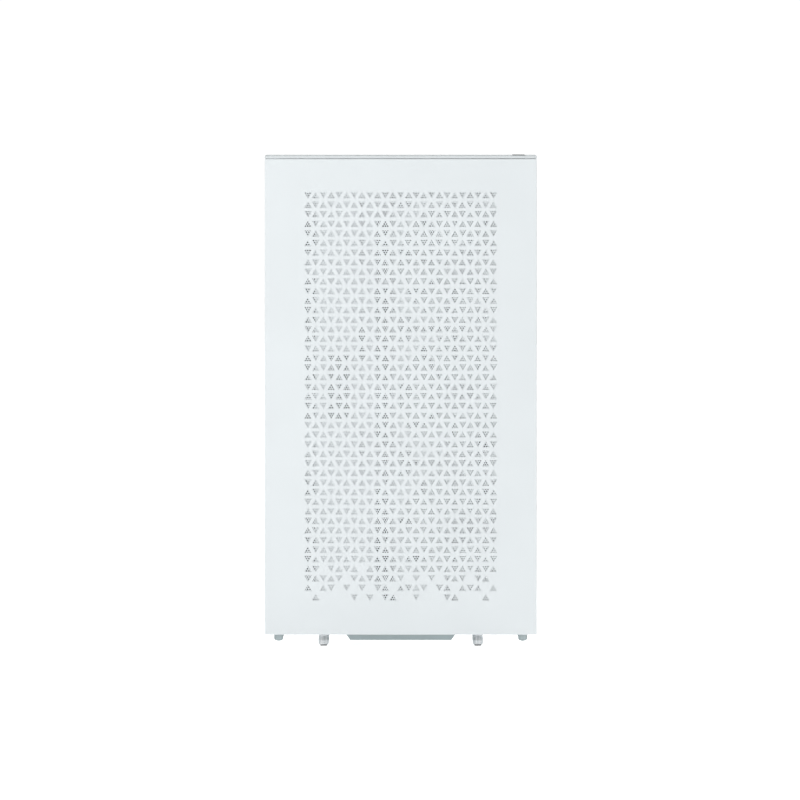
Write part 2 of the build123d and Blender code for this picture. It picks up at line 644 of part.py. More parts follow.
def make_rear_io():
    """Sockets along the board's rear edge and the thin plate around them."""
    base = BOARD_Y[1]
    usb_y = ((base, base + 7.0), (base + 8.5, base + 15.5))
    stacked = [(y, (z, z + 14.5), 9.0, True) for z in REAR_USB_Z for y in usb_y]
    single = [((base, base + 14.0), (260.0, 276.0), 13.0, False),
              ((base, base + 6.5), (283.0, 299.0), 8.0, True),
              ((base + 9.0, base + 15.5), (283.0, 299.0), 8.0, True)]
    ports = [rear_port(*spot) for spot in stacked + single]
    jacks = block((-118.0, -102.0), (base, base + 26.0), (306.0, 345.0))
    for z in REAR_JACK_Z:
        for y in (base + 7.0, base + 19.0):
            jacks += rod((-121.0, y, z), (-118.0, y, z), 4.6)
            jacks -= rod((-121.0, y, z), (-109.0, y, z), 1.8)
    save("rear_io_ports", *ports, jacks)
    gap = 0.4
    holes = [rectangle((base - gap, base + 15.5 + gap), (z - gap, z + 14.5 + gap))
             for z in REAR_USB_Z]
    holes += [rectangle((y[0] - gap, y[1] + gap), (z[0] - gap, z[1] + gap)) for y, z, *_ in single]
    holes += [circle(base + v, z, 5.0) for z in REAR_JACK_Z for v in (7.0, 19.0)]
    outline = rectangle((IO_OPENING_Y[0] + 0.3, IO_OPENING_Y[1] - 0.3),
                        (IO_OPENING_Z[0] + 0.3, IO_OPENING_Z[1] - 0.3))
    save("rear_io_shield", punched(facing_x(-119.7), outline, holes, 0.6))


def make_memory():
    """Two memory modules standing in their sockets."""
    modules = []
    for x in (22.0, 31.5):
        module = block(around(x, 0.6), (-50.6, -20.0), (206.2, 338.8))
        spreader = block(around(x, 3.0), (-43.0, -15.0), (206.2, 338.8))
        spreader -= block(around(x, 0.6), (-43.0, -20.0), (206.2, 338.8))
        for step in range(6):
            z = 214.0 + step * 21.0
            spreader -= block(around(x, 3.0), (-18.0, -15.0), (z, z + 10.0))
        modules += [module, spreader]
    save("memory_modules", *modules)


def make_cooler():
    """Cold plate with four U-shaped heat pipes carrying a stack of fins."""
    plate = block(around(CPU_X, 20.0), (-46.6, -37.0), around(CPU_Z, 21.0))
    arm = 36.0
    pipe_y = -41.5
    top_y = 85.0
    offsets = (-12.0, -4.0, 4.0, 12.0)
    for offset in offsets:
        x = CPU_X + offset
        points = [(x, top_y, CPU_Z - arm), (x, pipe_y, CPU_Z - arm), (x, pipe_y, CPU_Z + arm),
                  (x, top_y, CPU_Z + arm)]
        plate += tube(points, 3.0, [15.0, 15.0])
    save("cooler_heatpipes", plate)
    outline = rectangle((-62.0, -14.0), around(CPU_Z, 48.0))
    holes = [circle(CPU_X + a, CPU_Z + b, 3.15) for a in offsets for b in (-arm, arm)]
    fins = []
    for step in range(34):
        fins.append(punched(facing_left(-4.0 + step * 2.6), outline, holes, 0.5))
    save("cooler_fins", *fins)


# ---------------------------------------------------------------- graphics card
def make_graphics_card():
    board = block(CARD_X, CARD_Y, CARD_Z)
    board += block((-72.5, 11.5), (-49.7, CARD_Y[0]), CARD_Z)
    save("graphics_board", board)
    low = CARD_Z[1]
    fins = block((-98.0, 70.0), (-36.0, 60.0), (low, low + 5.0))
    for step in range(50):
        x = -98.0 + step * 3.4
        fins += block((x, x + 0.8), (-36.0, 60.0), (low + 5.0, low + 22.0))
    for x in CARD_FAN_X.values():
        fins += Pos(x, CARD_FAN_Y, low + 23.5) * motor_base(14.0, 3.0)
    save("graphics_heatsink", fins)
    shroud = block((-106.0, 84.0), (-40.8, 66.0), (low + 0.2, low + 38.0))
    shroud = fillet(shroud.edges().filter_by(Axis.Z), 8.0)
    shroud = chamfer(shroud.faces().sort_by(Axis.Z)[-1].edges(), 2.5)
    shroud -= block((-103.5, 81.5), (-38.3, 63.5), (low, low + 35.0))
    for x in CARD_FAN_X.values():
        shroud -= rod((x, CARD_FAN_Y, low + 30), (x, CARD_FAN_Y, low + 40), CARD_FAN_RADIUS + 1.5)
    for step in range(16):
        x = -94.0 + step * 11.0
        shroud -= block((x, x + 7.0), (60.0, 70.0), (low + 8.0, low + 26.0))
    save("graphics_shroud", shroud)
    for name, x in CARD_FAN_X.items():
        plane = Plane(origin=(x, CARD_FAN_Y, low + 37.0), x_dir=(1, 0, 0), z_dir=(0, 0, -1))
        save(f"graphics_rotor_{name}", plane * fan_rotor(14.0, CARD_FAN_RADIUS, 11.5, 11))
    make_card_bracket(low)


def make_card_bracket(low):
    """Slotted end plate of the card with its display sockets."""
    holes = []
    ports = []
    for y in (-34.0, -10.0, 14.0, 38.0):
        span = (y, y + 16.0)
        z = (low, low + 6.0)
        shell = block((-121.4, -106.2), span, z)
        shell -= block((-121.4, -111.0), (span[0] + 0.7, span[1] - 0.7), (z[0] + 0.7, z[1] - 0.7))
        shell += block((-119.5, -111.0), (span[0] + 2, span[1] - 2), (z[0] + 2.4, z[0] + 3.6))
        ports.append(shell)
        holes.append(rectangle((span[0] - 0.3, span[1] + 0.3), (z[0] - 0.1, z[1] + 0.3)))
    for step in range(9):
        holes.append(rectangle(around(-34.0 + step * 10.0, 3.6), (378.0, 389.0)))
    outline = rectangle((-55.0, 62.0), (IO_OPENING_Z[1] + 2.2, SLOT_Z[1]))
    plate = punched(facing_x(REAR_X[1]), outline, holes, 0.9)
    save("graphics_bracket", plate, *ports)


# ---------------------------------------------------------------- power supply
def make_psu_case():
    """Steel box with a fan grille, a vented end and openings for its fittings."""
    x, y, z = PSU_X, PSU_Y, PSU_Z
    case = block(x, y, z)
    skin = PSU_STEEL
    case -= block(*[(low + skin, high - skin) for low, high in (x, y, z)])
    fan_x = (x[0] + x[1]) / 2
    fan_z = (z[0] + z[1]) / 2
    grille = [extrude(Face(wire), 2, dir=(0, 0, 1))
              for wire in round_grille(fan_x, fan_z, PSU_FAN_RADIUS + 2, 3.0, 7.2)]
    case -= [facing_left(y[1] + 0.5) * hole for hole in grille]
    vents = []
    for row in range(8):
        for column in range(7):
            hole = circle(y[0] + 12 + column * 6.6, z[0] + 62 + row * 6.6, 2.4)
            vents.append(facing_x(x[0] - 0.5) * extrude(Face(hole), 2, dir=(0, 0, 1)))
    case -= vents
    inlet = block((x[0] - 1, x[0] + 1), around(INLET_YZ[0], 13.0), around(INLET_YZ[1], 10.0))
    rocker = block((x[0] - 1, x[0] + 1), around(ROCKER_YZ[0], 6.6), around(ROCKER_YZ[1], 9.6))
    case -= inlet
    case -= rocker
    for z_low in (60.0, 97.0):
        case -= block((x[1] - 1, x[1] + 1), (25.0, 72.0), (z_low, z_low + 30.0))
    save("psu_case", case)


def make_psu_inside():
    """Circuit board, coils, capacitors, heat sinks and fan ring of the supply."""
    low = PSU_Y[0] + PSU_STEEL
    x = (-100.0, -26.0)
    z = (PSU_Z[0] + 6, PSU_Z[1] - 6)
    pieces = [block(x, (low + 3.0, low + 4.6), z)]
    for corner_x in (-96.0, -30.0):
        for corner_z in (34.0, 139.0):
            pieces[0] += rod((corner_x, low, corner_z), (corner_x, low + 3.2, corner_z), 2.5)
    face = low + 4.6
    pieces.append(block((-72.0, -44.0), (face, face + 26.0), (70.0, 104.0)))
    pieces.append(block((-94.0, -90.0), (face, face + 30.0), (72.0, 136.0)))
    pieces.append(block((-40.0, -36.0), (face, face + 28.0), (46.0, 132.0)))
    for at in ((-78.0, 42.0), (-58.0, 48.0), (-80.0, 122.0), (-56.0, 124.0)):
        pieces.append(rod((at[0], face, at[1]), (at[0], face + 25.0, at[1]), 8.0))
    for z_low in (60.0, 97.0):
        pieces.append(block((-26.0, -17.8), (25.5, 71.5), (z_low + 0.5, z_low + 29.5)))
    centre_x = (PSU_X[0] + PSU_X[1]) / 2
    centre_z = (PSU_Z[0] + PSU_Z[1]) / 2
    ring_y = (PSU_Y[1] - 17.0, PSU_Y[1] - PSU_STEEL)
    ring = block(around(centre_x, 44.5), ring_y, around(centre_z, 44.5))
    ring -= rod((centre_x, ring_y[0], centre_z), (centre_x, ring_y[1], centre_z), PSU_FAN_RADIUS + 1.2)
    for angle in (15, 135, 255):
        spoke = Rot(0, angle, 0) * (Pos(28, 0, 0) * Box(32, 2.4, 3.4))
        ring += Pos(centre_x, ring_y[0] + 1.2, centre_z) * spoke
    bearing = Plane(origin=(centre_x, ring_y[0] + 1.6, centre_z), z_dir=(0, 1, 0))
    ring += bearing * motor_base(14.0, 3.2)
    pieces.append(ring)
    save("psu_inside", *pieces)
    plane = Plane(origin=(centre_x, PSU_Y[1] - 1.6, centre_z), x_dir=(1, 0, 0), z_dir=(0, -1, 0))
    save("psu_rotor", plane * fan_rotor(15.0, PSU_FAN_RADIUS, 11.6, 9))


def make_psu_fittings():
    """Mains inlet with its three pins, and the rocker switch."""
    face = PSU_X[0]
    y, z = INLET_YZ
    body = block((face - 2.2, face), around(y, 14.5), around(z, 11.5))
    body += block((face, face + 18.0), around(y, 12.9), around(z, 9.9))
    body -= block((face - 2.2, face + 15.0), around(y, 12.0), around(z, 8.2))
    for pin_y, pin_z in ((y - 7.0, z - 1.8), (y + 7.0, z - 1.8), (y, z + 2.2)):
        body += block((face + 1.0, face + 16.0), around(pin_y, 1.0), around(pin_z, 2.0))
    y, z = ROCKER_YZ
    bezel = block((face - 1.6, face), around(y, 8.4), around(z, 11.4))
    bezel += block((face, face + 5.0), around(y, 6.5), around(z, 9.5))
    bezel -= block((face - 1.6, face + 4.4), around(y, 5.4), around(z, 8.6))
    save("psu_inlet_and_bezel", body, bezel)
    pivot = (face + 2.0, z)
    wave = Plane.XZ * Polyline((pivot[0] - 4.4, z + 8.0), (pivot[0] - 3.4, z), (pivot[0] - 4.4, z - 8.0),
                               (pivot[0] + 1.0, z - 7.4), (pivot[0] + 1.0, z + 7.4), close=True)
    rocker = Pos(0, y + 5.1, 0) * extrude(make_face(wave), 10.2, dir=(0, -1, 0))
    turn = Pos(pivot[0], 0, z) * Rot(0, ROCKER_TILT, 0) * Pos(-pivot[0], 0, -z)
    save("psu_rocker", turn * rocker)


# ---------------------------------------------------------------- drives, cables, screws
def make_drives():
    """Two flat drives on the middle wall."""
    drives = []
    for y in (MIDDLE_Y[1] + 1.0, MIDDLE_Y[1] + 11.0):
        case = block((-112.0, -42.15), (y, y + 7.0), (34.0, 134.0))
        drives.append(fillet(case.edges().filter_by(Axis.Y), 2.5))
    bracket = block((-115.0, -39.0), (MIDDLE_Y[1], MIDDLE_Y[1] + 1.0), (40.0, 128.0))
    for x in ((-115.0, -113.5), (-40.6, -39.0)):
        bracket += block(x, (MIDDLE_Y[1], MIDDLE_Y[1] + 17.5), (40.0, 128.0))
    for x in ((-113.5, -112.0), (-42.15, -40.6)):
        for z in (50.0, 112.0):
            bracket += block(x, (MIDDLE_Y[1] + 1.0, MIDDLE_Y[1] + 17.0), (z, z + 5.0))
    save("drives_and_bracket", *drives, bracket)


def make_cables():
    """Inner cables, held by their plugs and by the cable cover."""
    plug_x = (-17.8, -6.0)
    pieces = [block(plug_x, around(35.0, 7.5), around(75.0, 12.0))]
    pieces.append(tube([(-6, 35, 75), (78, 35, 82), (78, -8, 261), (45, -8, 261), (45, -28, 261)],
                       5.0, [30.0, 14.0, 8.5]))
    pieces.append(block((40.5, 49.5), (-40.0, -28.0), (236.0, 286.0)))
    pieces.append(block(plug_x, around(50.0, 6.0), around(112.0, 9.0)))
    pieces.append(tube([(-6, 50, 112), (107, 50, 112), (107, 50, 374), (91, 50, 374)], 4.0, [45.0, 7.0]))
    pieces.append(block((84.0, 91.0), around(50.0, 7.5), around(374.0, 5.0)))
    pieces.append(block(plug_x, around(62.0, 5.0), around(75.0, 8.0)))
    pieces.append(tube([(-6, 62, 75), (18, 62, 82), (18, 24, 172), (-66, -8, 176), (-81.5, -12, 203),
                        (-81.5, -28, 203)], 3.2, [12.0, 24.0, 12.0, 6.5]))
    pieces.append(block((-89.0, -74.0), (-40.0, -28.0), (198.5, 207.5)))
    pieces.append(tube([(104, 4, 441), (104, 4, 418), (99, -38, 392), (99, -47, 312), (60, -47, 303)],
                       2.6, [10.0, 20.0, 16.0]))
    pieces.append(block((52.0, 60.0), (-51.5, -44.0), (294.0, 312.0)))
    for step, z in enumerate(SIDE_FAN_Z.values()):
        x = -9.0 - step * 4.0
        pieces.append(tube([(-3.5, -70, z - 44), (x, -70, z - 44), (x, -70, 52)], 1.3, [2.4]))
    pieces.append(tube([(-56, -76, 34), (-60, -76, 130), (-56, -74, 232), (-60, -76, 330), (-56, -76, 432)],
                       6.0, [200.0, 200.0, 200.0]))
    hub = block((-23.0, -5.5), (-80.0, MIDDLE_Y[0]), (22.0, 52.0))
    pieces.append(fillet(hub.edges().filter_by(Axis.Z), 1.5))
    save("cables_and_fan_hub", *pieces)


def make_screws():
    """Fan, board and power supply screws, and the posts under the board."""
    pieces = []
    half = FAN_120[3] / 2
    for z in SIDE_FAN_Z.values():
        for a in (-1, 1):
            for b in (-1, 1):
                spot = (SIDE_FAN_X + a * half, z + b * half)
                pieces.append(rod((spot[0], MIDDLE_Y[1], spot[1]), (spot[0], -58.8, spot[1]), 3.2))
    for x in (BOARD_X[0] + 10.2, BOARD_X[1] - 6.4):
        for z in (BOARD_Z[0] + 6.4, BOARD_Z[1] - 8.0):
            pieces.append(rod((x, MIDDLE_Y[1], z), (x, BOARD_Y[0], z), 2.6))
            pieces.append(rod((x, BOARD_Y[1], z), (x, BOARD_Y[1] + 2.0, z), 3.0))
    half = FAN_92[3] / 2
    for a in (-1, 1):
        for b in (-1, 1):
            y = REAR_FAN_YZ[0] + a * half
            z = REAR_FAN_YZ[1] + b * half
            pieces.append(rod((REAR_X[0], y, z), (REAR_X[0] - 1.8, y, z), 3.2))
    for y in (PSU_Y[0] + 4.0, PSU_Y[1] - 3.0):
        for z in (PSU_Z[0] + 4.0, PSU_Z[1] - 4.0):
            pieces.append(rod((REAR_X[0], y, z), (REAR_X[0] - 1.8, y, z), 2.6))
    for y in (66.0, 76.0):
        pieces.append(rod((REAR_X[0], y, 382.0), (REAR_X[0] - 5.0, y, 382.0), 4.2))
    save("screws", *pieces)


# ---------------------------------------------------------------- everything
make_side_panel("left", -1)
make_side_panel("right", 1)
make_front_panel()
make_top_cover()
make_panel_sockets()
make_base_plate()
make_top_plate()
make_front_frame()
make_rear_wall()
make_middle_wall()
make_cable_cover()
make_feet()
make_filter_tray()
make_power_button()
make_front_io()
make_fans()
make_main_board()
make_rear_io()
make_memory()
make_cooler()
make_graphics_card()
make_psu_case()
make_psu_inside()
make_psu_fittings()
make_drives()
make_cables()
make_screws()
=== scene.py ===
import math
import random

import bmesh
import bpy
import numpy as np
from mathutils import Matrix, Vector


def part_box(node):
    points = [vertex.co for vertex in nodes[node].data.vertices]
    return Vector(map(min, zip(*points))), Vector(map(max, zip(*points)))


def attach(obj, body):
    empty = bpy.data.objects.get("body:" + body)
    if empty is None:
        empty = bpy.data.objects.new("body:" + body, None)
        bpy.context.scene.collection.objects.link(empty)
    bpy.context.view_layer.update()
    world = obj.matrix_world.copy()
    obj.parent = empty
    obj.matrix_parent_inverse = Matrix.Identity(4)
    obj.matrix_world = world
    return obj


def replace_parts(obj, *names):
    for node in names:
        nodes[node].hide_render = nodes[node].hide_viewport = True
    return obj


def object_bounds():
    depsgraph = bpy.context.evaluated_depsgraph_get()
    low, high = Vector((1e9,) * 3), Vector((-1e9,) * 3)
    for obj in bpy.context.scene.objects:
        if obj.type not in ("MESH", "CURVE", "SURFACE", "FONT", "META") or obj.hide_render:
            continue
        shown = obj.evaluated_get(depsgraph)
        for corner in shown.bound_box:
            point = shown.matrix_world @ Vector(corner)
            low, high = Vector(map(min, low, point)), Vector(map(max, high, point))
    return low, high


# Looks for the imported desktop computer. Metres; -Y is the left side panel, +X the front.
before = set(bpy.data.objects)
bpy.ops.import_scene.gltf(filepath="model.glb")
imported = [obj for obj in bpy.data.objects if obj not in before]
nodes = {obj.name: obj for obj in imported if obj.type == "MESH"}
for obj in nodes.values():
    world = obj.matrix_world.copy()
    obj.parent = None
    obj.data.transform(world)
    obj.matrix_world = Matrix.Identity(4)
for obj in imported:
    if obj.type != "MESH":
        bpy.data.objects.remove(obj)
cad_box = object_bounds()
MM = 0.001
FRONT, REAR = (1, 0, 0), (-1, 0, 0)
LEFT, RIGHT, UP = (0, -1, 0), (0, 1, 0), (0, 0, 1)
rng = random.Random(7)


# ---------------------------------------------------------------- material helpers
class Shader:
    """A new material with its main shader and short ways to add nodes."""

    def __init__(self, name, colour, roughness, metallic=0.0):
        self.material = bpy.data.materials.new(name)
        self.material.use_nodes = True
        self.tree = self.material.node_tree
        self.main = self.tree.nodes["Principled BSDF"]
        self.main.inputs["Base Color"].default_value = (*colour, 1)
        self.main.inputs["Roughness"].default_value = roughness
        self.main.inputs["Metallic"].default_value = metallic
        self.place = self.add("ShaderNodeTexCoord").outputs["Object"]

    def add(self, kind, **values):
        node = self.tree.nodes.new(kind)
        for key, value in values.items():
            setattr(node, key, value)
        return node

    def link(self, source, target):
        self.tree.links.new(source, target)

    def noise(self, scale, detail=3.0, roughness=0.5, stretch=None):
        node = self.add("ShaderNodeTexNoise")
        node.inputs["Scale"].default_value = scale
        node.inputs["Detail"].default_value = detail
        node.inputs["Roughness"].default_value = roughness
        self.link(self.stretched(stretch), node.inputs["Vector"])
        return node.outputs["Fac"]

    def stretched(self, stretch):
        if stretch is None:
            return self.place
        mapping = self.add("ShaderNodeMapping")
        mapping.inputs["Scale"].default_value = stretch
        self.link(self.place, mapping.inputs["Vector"])
        return mapping.outputs["Vector"]

    def ramp(self, value, low, high, colours):
        """Colour ramp between two stops."""
        node = self.add("ShaderNodeValToRGB")
        for element, at, colour in zip(node.color_ramp.elements, (low, high), colours):
            element.position = at
            element.color = (*colour, 1)
        self.link(value, node.inputs["Fac"])
        return node.outputs["Color"]

    def span(self, value, low, high):
        """Maps 0..1 to low..high."""
        node = self.add("ShaderNodeMapRange")
        node.inputs["To Min"].default_value = low
        node.inputs["To Max"].default_value = high
        self.link(value, node.inputs["Value"])
        return node.outputs["Result"]

    def bump(self, height, depth, strength, under=None):
        node = self.add("ShaderNodeBump")
        node.inputs["Distance"].default_value = depth
        node.inputs["Strength"].default_value = strength
        self.link(height, node.inputs["Height"])
        if under is not None:
            self.link(under, node.inputs["Normal"])
        self.link(node.outputs["Normal"], self.main.inputs["Normal"])
        return node.outputs["Normal"]

    def colour_from(self, colour_output):
        self.link(colour_output, self.main.inputs["Base Color"])

    def roughness_from(self, value, low, high):
        self.link(self.span(value, low, high), self.main.inputs["Roughness"])


def shade(colour, factor):
    return tuple(min(1.0, channel * factor) for channel in colour)


def powder_coat(name, colour, roughness):
    """Fine orange-peel powder coat with slight tone drift."""
    s = Shader(name, colour, roughness)
    s.colour_from(s.ramp(s.noise(14, 2), 0.3, 0.7, (shade(colour, 0.985), shade(colour, 1.01))))
    s.roughness_from(s.noise(900, 2), roughness - 0.06, roughness + 0.06)
    coarse = s.bump(s.noise(520, 2), 0.00004, 0.35)
    s.bump(s.noise(2600, 3), 0.00002, 0.5, coarse)
    return s.material


def moulded(name, colour, roughness, grain=1600, depth=0.00003):
    """Injection-moulded plastic with a fine spark-eroded grain."""
    s = Shader(name, colour, roughness)
    s.colour_from(s.ramp(s.noise(30, 3), 0.3, 0.7, (shade(colour, 0.95), shade(colour, 1.04))))
    s.roughness_from(s.noise(grain, 2), roughness - 0.05, roughness + 0.08)
    s.bump(s.noise(grain, 4), depth, 0.5)
    return s.material


def metal(name, colour, roughness, stretch=(1, 1, 1), grain=900):
    """Metal whose fine scratches run across the stretched axes."""
    s = Shader(name, colour, roughness, 1.0)
    lines = s.noise(grain, 3, 0.6, stretch)
    s.roughness_from(lines, max(0.04, roughness - 0.08), roughness + 0.12)
    s.colour_from(s.ramp(lines, 0.3, 0.75, (shade(colour, 0.9), shade(colour, 1.05))))
    s.bump(lines, 0.00001, 0.4)
    return s.material


def circuit_board(name, colour, trace):
    """Solder mask over fine copper tracks, with pads and vias."""
    s = Shader(name, colour, 0.32)
    tracks = s.add("ShaderNodeTexVoronoi", feature="DISTANCE_TO_EDGE")
    tracks.inputs["Scale"].default_value = 130
    s.link(s.stretched((1, 1, 0.35)), tracks.inputs["Vector"])
    fine = s.add("ShaderNodeTexWave", wave_type="BANDS", bands_direction="DIAGONAL")
    fine.inputs["Scale"].default_value = 160
    fine.inputs["Distortion"].default_value = 1.5
    s.link(s.place, fine.inputs["Vector"])
    edge = s.ramp(tracks.outputs["Distance"], 0.02, 0.05, ((1, 1, 1), (0, 0, 0)))
    band = s.ramp(fine.outputs["Fac"], 0.72, 0.8, ((0, 0, 0), (1, 1, 1)))
    both = s.add("ShaderNodeMix", data_type="RGBA", blend_type="MULTIPLY")
    both.inputs["Factor"].default_value = 1.0
    s.link(edge, both.inputs["A"])
    s.link(band, both.inputs["B"])
    tone = s.add("ShaderNodeMix", data_type="RGBA")
    tone.inputs["A"].default_value = (*colour, 1)
    tone.inputs["B"].default_value = (*trace, 1)
    s.link(both.outputs["Result"], tone.inputs["Factor"])
    s.colour_from(tone.outputs["Result"])
    s.bump(both.outputs["Result"], 0.00004, 0.6)
    return s.material


def braid(name, colour):
    """Woven cable sleeve."""
    s = Shader(name, colour, 0.6)
    weave = s.add("ShaderNodeTexChecker")
    weave.inputs["Scale"].default_value = 1400
    s.link(s.place, weave.inputs["Vector"])
    s.colour_from(s.ramp(s.noise(1500, 2), 0.35, 0.65, (shade(colour, 0.55), shade(colour, 1.7))))
    s.bump(weave.outputs["Fac"], 0.0001, 0.5)
    return s.material


def chrome_with_painted_streaks(name):
    """Bright metal whose colour holds long upright stripes of painted reflection, light and dark.
    """
    s = Shader(name, (0.9, 0.92, 0.94), 0.2, 0.7)
    painted_streak = s.noise(330, 2, 0.5, (1, 1, 0.04))
    # Painted reflection: the base colour runs between dark and bright upright stripes.
    s.colour_from(s.ramp(painted_streak, 0.38, 0.6, ((0.68, 0.71, 0.73), (0.97, 0.98, 0.99))))
    s.roughness_from(painted_streak, 0.16, 0.28)
    return s.material


WHITE = (0.80, 0.835, 0.85)
white_steel = powder_coat("white_powder_coat", WHITE, 0.5)
# Darker copy of the white powder coat for the top cover: painted shade, standing in for the grey
# shaded rim along its front edge.
shaded_cover_steel = powder_coat("white_powder_coat_painted_shade", shade(WHITE, 0.88), 0.5)
white_nylon = moulded("white_filter_nylon", shade(WHITE, 0.985), 0.62, 2400)
white_plastic = moulded("white_fan_plastic", (0.90, 0.94, 0.945), 0.42)
black_plastic = moulded("black_plastic", (0.022, 0.022, 0.024), 0.42)
grey_plastic = moulded("grey_tray_plastic", (0.345, 0.40, 0.41), 0.45)
dark_foot = moulded("grey_stub_plastic", (0.42, 0.48, 0.49), 0.5)
rubber = moulded("rubber", (0.035, 0.035, 0.037), 0.75, 900, 0.00006)
pad_rubber = moulded("fan_pad_rubber", (0.36, 0.37, 0.38), 0.8, 900, 0.00006)
chrome = chrome_with_painted_streaks("chrome_foot")
stud_steel = metal("bright_steel", (0.62, 0.62, 0.63), 0.28)
tinned = metal("tinned_steel", (0.62, 0.62, 0.61), 0.3, (1, 8, 1), 700)
nickel = metal("nickel_plate", (0.72, 0.68, 0.62), 0.2)
fin_aluminium = metal("fin_aluminium", (0.80, 0.81, 0.82), 0.32, (1, 1, 12), 500)
dark_metal = powder_coat("black_powder_coat", (0.025, 0.025, 0.028), 0.45)
board_mask = circuit_board("black_circuit_board", (0.012, 0.014, 0.017), (0.045, 0.05, 0.055))
sleeve = braid("black_braid", (0.02, 0.02, 0.022))
chip_resin = moulded("chip_resin", (0.03, 0.03, 0.032), 0.5, 3000)
ceramic_tan = moulded("ceramic_tan", (0.45, 0.34, 0.22), 0.4, 3000)
gold = metal("gold_contacts", (0.95, 0.72, 0.32), 0.25)
hub_metal = metal("brushed_hub", (0.75, 0.76, 0.78), 0.28, (1, 1, 1), 500)
ferrite = moulded("ferrite_grey", (0.12, 0.12, 0.125), 0.5, 1200)
gunmetal = metal("gunmetal_trim", (0.22, 0.23, 0.25), 0.35, (12, 1, 1), 600)
brass_metal = metal("brass_posts", (0.80, 0.62, 0.32), 0.3)
button_plastic = moulded("button_satin_plastic", (0.10, 0.11, 0.115), 0.38)
port_blue = moulded("port_tongue_blue", (0.03, 0.12, 0.42), 0.4)
jack_green = moulded("jack_green", (0.18, 0.5, 0.2), 0.4)
jack_pink = moulded("jack_pink", (0.7, 0.3, 0.4), 0.4)
jack_blue = moulded("jack_blue", (0.2, 0.42, 0.7), 0.4)
light_pipe = moulded("light_pipe", (0.75, 0.8, 0.84), 0.25)


def dress(material, *names):
    """Gives CAD nodes their material."""
    for name in names:
        mesh = nodes[name].data
        mesh.materials.clear()
        mesh.materials.append(material)


dress(white_steel, "left_panel", "right_panel", "front_panel", "base_plate", "top_plate",
      "front_frame", "rear_wall", "middle_wall", "cable_cover", "power_button")
dress(shaded_cover_steel, "top_cover")
dress(white_nylon, "left_filter", "right_filter", "front_filter", "filter_tray_mesh")
dress(white_plastic, *[f"side_fan_{spot}_{part}" for spot in ("low", "middle", "high")
                       for part in ("frame", "rotor")], "rear_fan_frame", "rear_fan_rotor")
dress(black_plastic, "panel_sockets", "board_sockets_and_processor", "cooler_fan_frame",
      "cooler_fan_rotor", "graphics_shroud", "graphics_rotor_rear", "graphics_rotor_front",
      "psu_rotor", "psu_rocker", "psu_inlet_and_bezel", "psu_inside")
dress(stud_steel, "left_panel_studs", "right_panel_studs", "front_panel_studs",
      "top_cover_studs", "screws")
dress(chrome, "tall_feet")
dress(rubber, "foot_pads")
dress(dark_foot, "stub_feet")
dress(grey_plastic, "filter_tray", "filter_rails")
dress(board_mask, "main_board", "graphics_board", "front_io_board", "m2_drive")
dress(tinned, "rear_io_ports", "rear_io_shield", "front_io_ports", "graphics_bracket")
dress(nickel, "cooler_heatpipes")
dress(fin_aluminium, "cooler_fins", "graphics_heatsink", "board_heatsinks")
dress(dark_metal, "psu_case", "drives_and_bracket", "memory_modules")
dress(sleeve, "cables_and_fan_hub")


# ---------------------------------------------------------------- mesh helpers
def new_object(name, data):
    """Object that is shown in the scene."""
    thing = bpy.data.objects.new(name, data)
    bpy.context.scene.collection.objects.link(thing)
    return thing


def new_piece(name, vertices, faces, material, body):
    """Mesh object that rides on a CAD body."""
    mesh = bpy.data.meshes.new(name)
    mesh.from_pydata([tuple(v) for v in vertices], [], [tuple(f) for f in faces])
    mesh.update()
    mesh.materials.append(material)
    piece = new_object(name, mesh)
    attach(piece, body)
    return piece


SIGNS = [(x, y, z) for x in (-1, 1) for y in (-1, 1) for z in (-1, 1)]


def box_faces():
    """Faces of a chamfered box: corner number times three plus the axis it lies on."""
    faces = []
    for axis in range(3):
        a, b = [k for k in range(3) if k != axis]
        for side in (-1, 1):
            ring = sorted((math.atan2(c[b], c[a]), n)
                          for n, c in enumerate(SIGNS) if c[axis] == side)
            faces.append(tuple(3 * n + axis for _, n in ring))
        for first in (-1, 1):
            for second in (-1, 1):
                low, high = [n for n, c in enumerate(SIGNS)
                             if c[a] == first and c[b] == second]
                faces.append((3 * low + a, 3 * high + a, 3 * high + b, 3 * low + b))
    for n in range(len(SIGNS)):
        faces.append((3 * n, 3 * n + 1, 3 * n + 2))
    return faces


BOX_FACES = box_faces()


def cross_axes(axis):
    """Unit vector along the axis and two more across it."""
    w = Vector(axis).normalized()
    u = w.orthogonal().normalized()
    return w, u, w.cross(u)


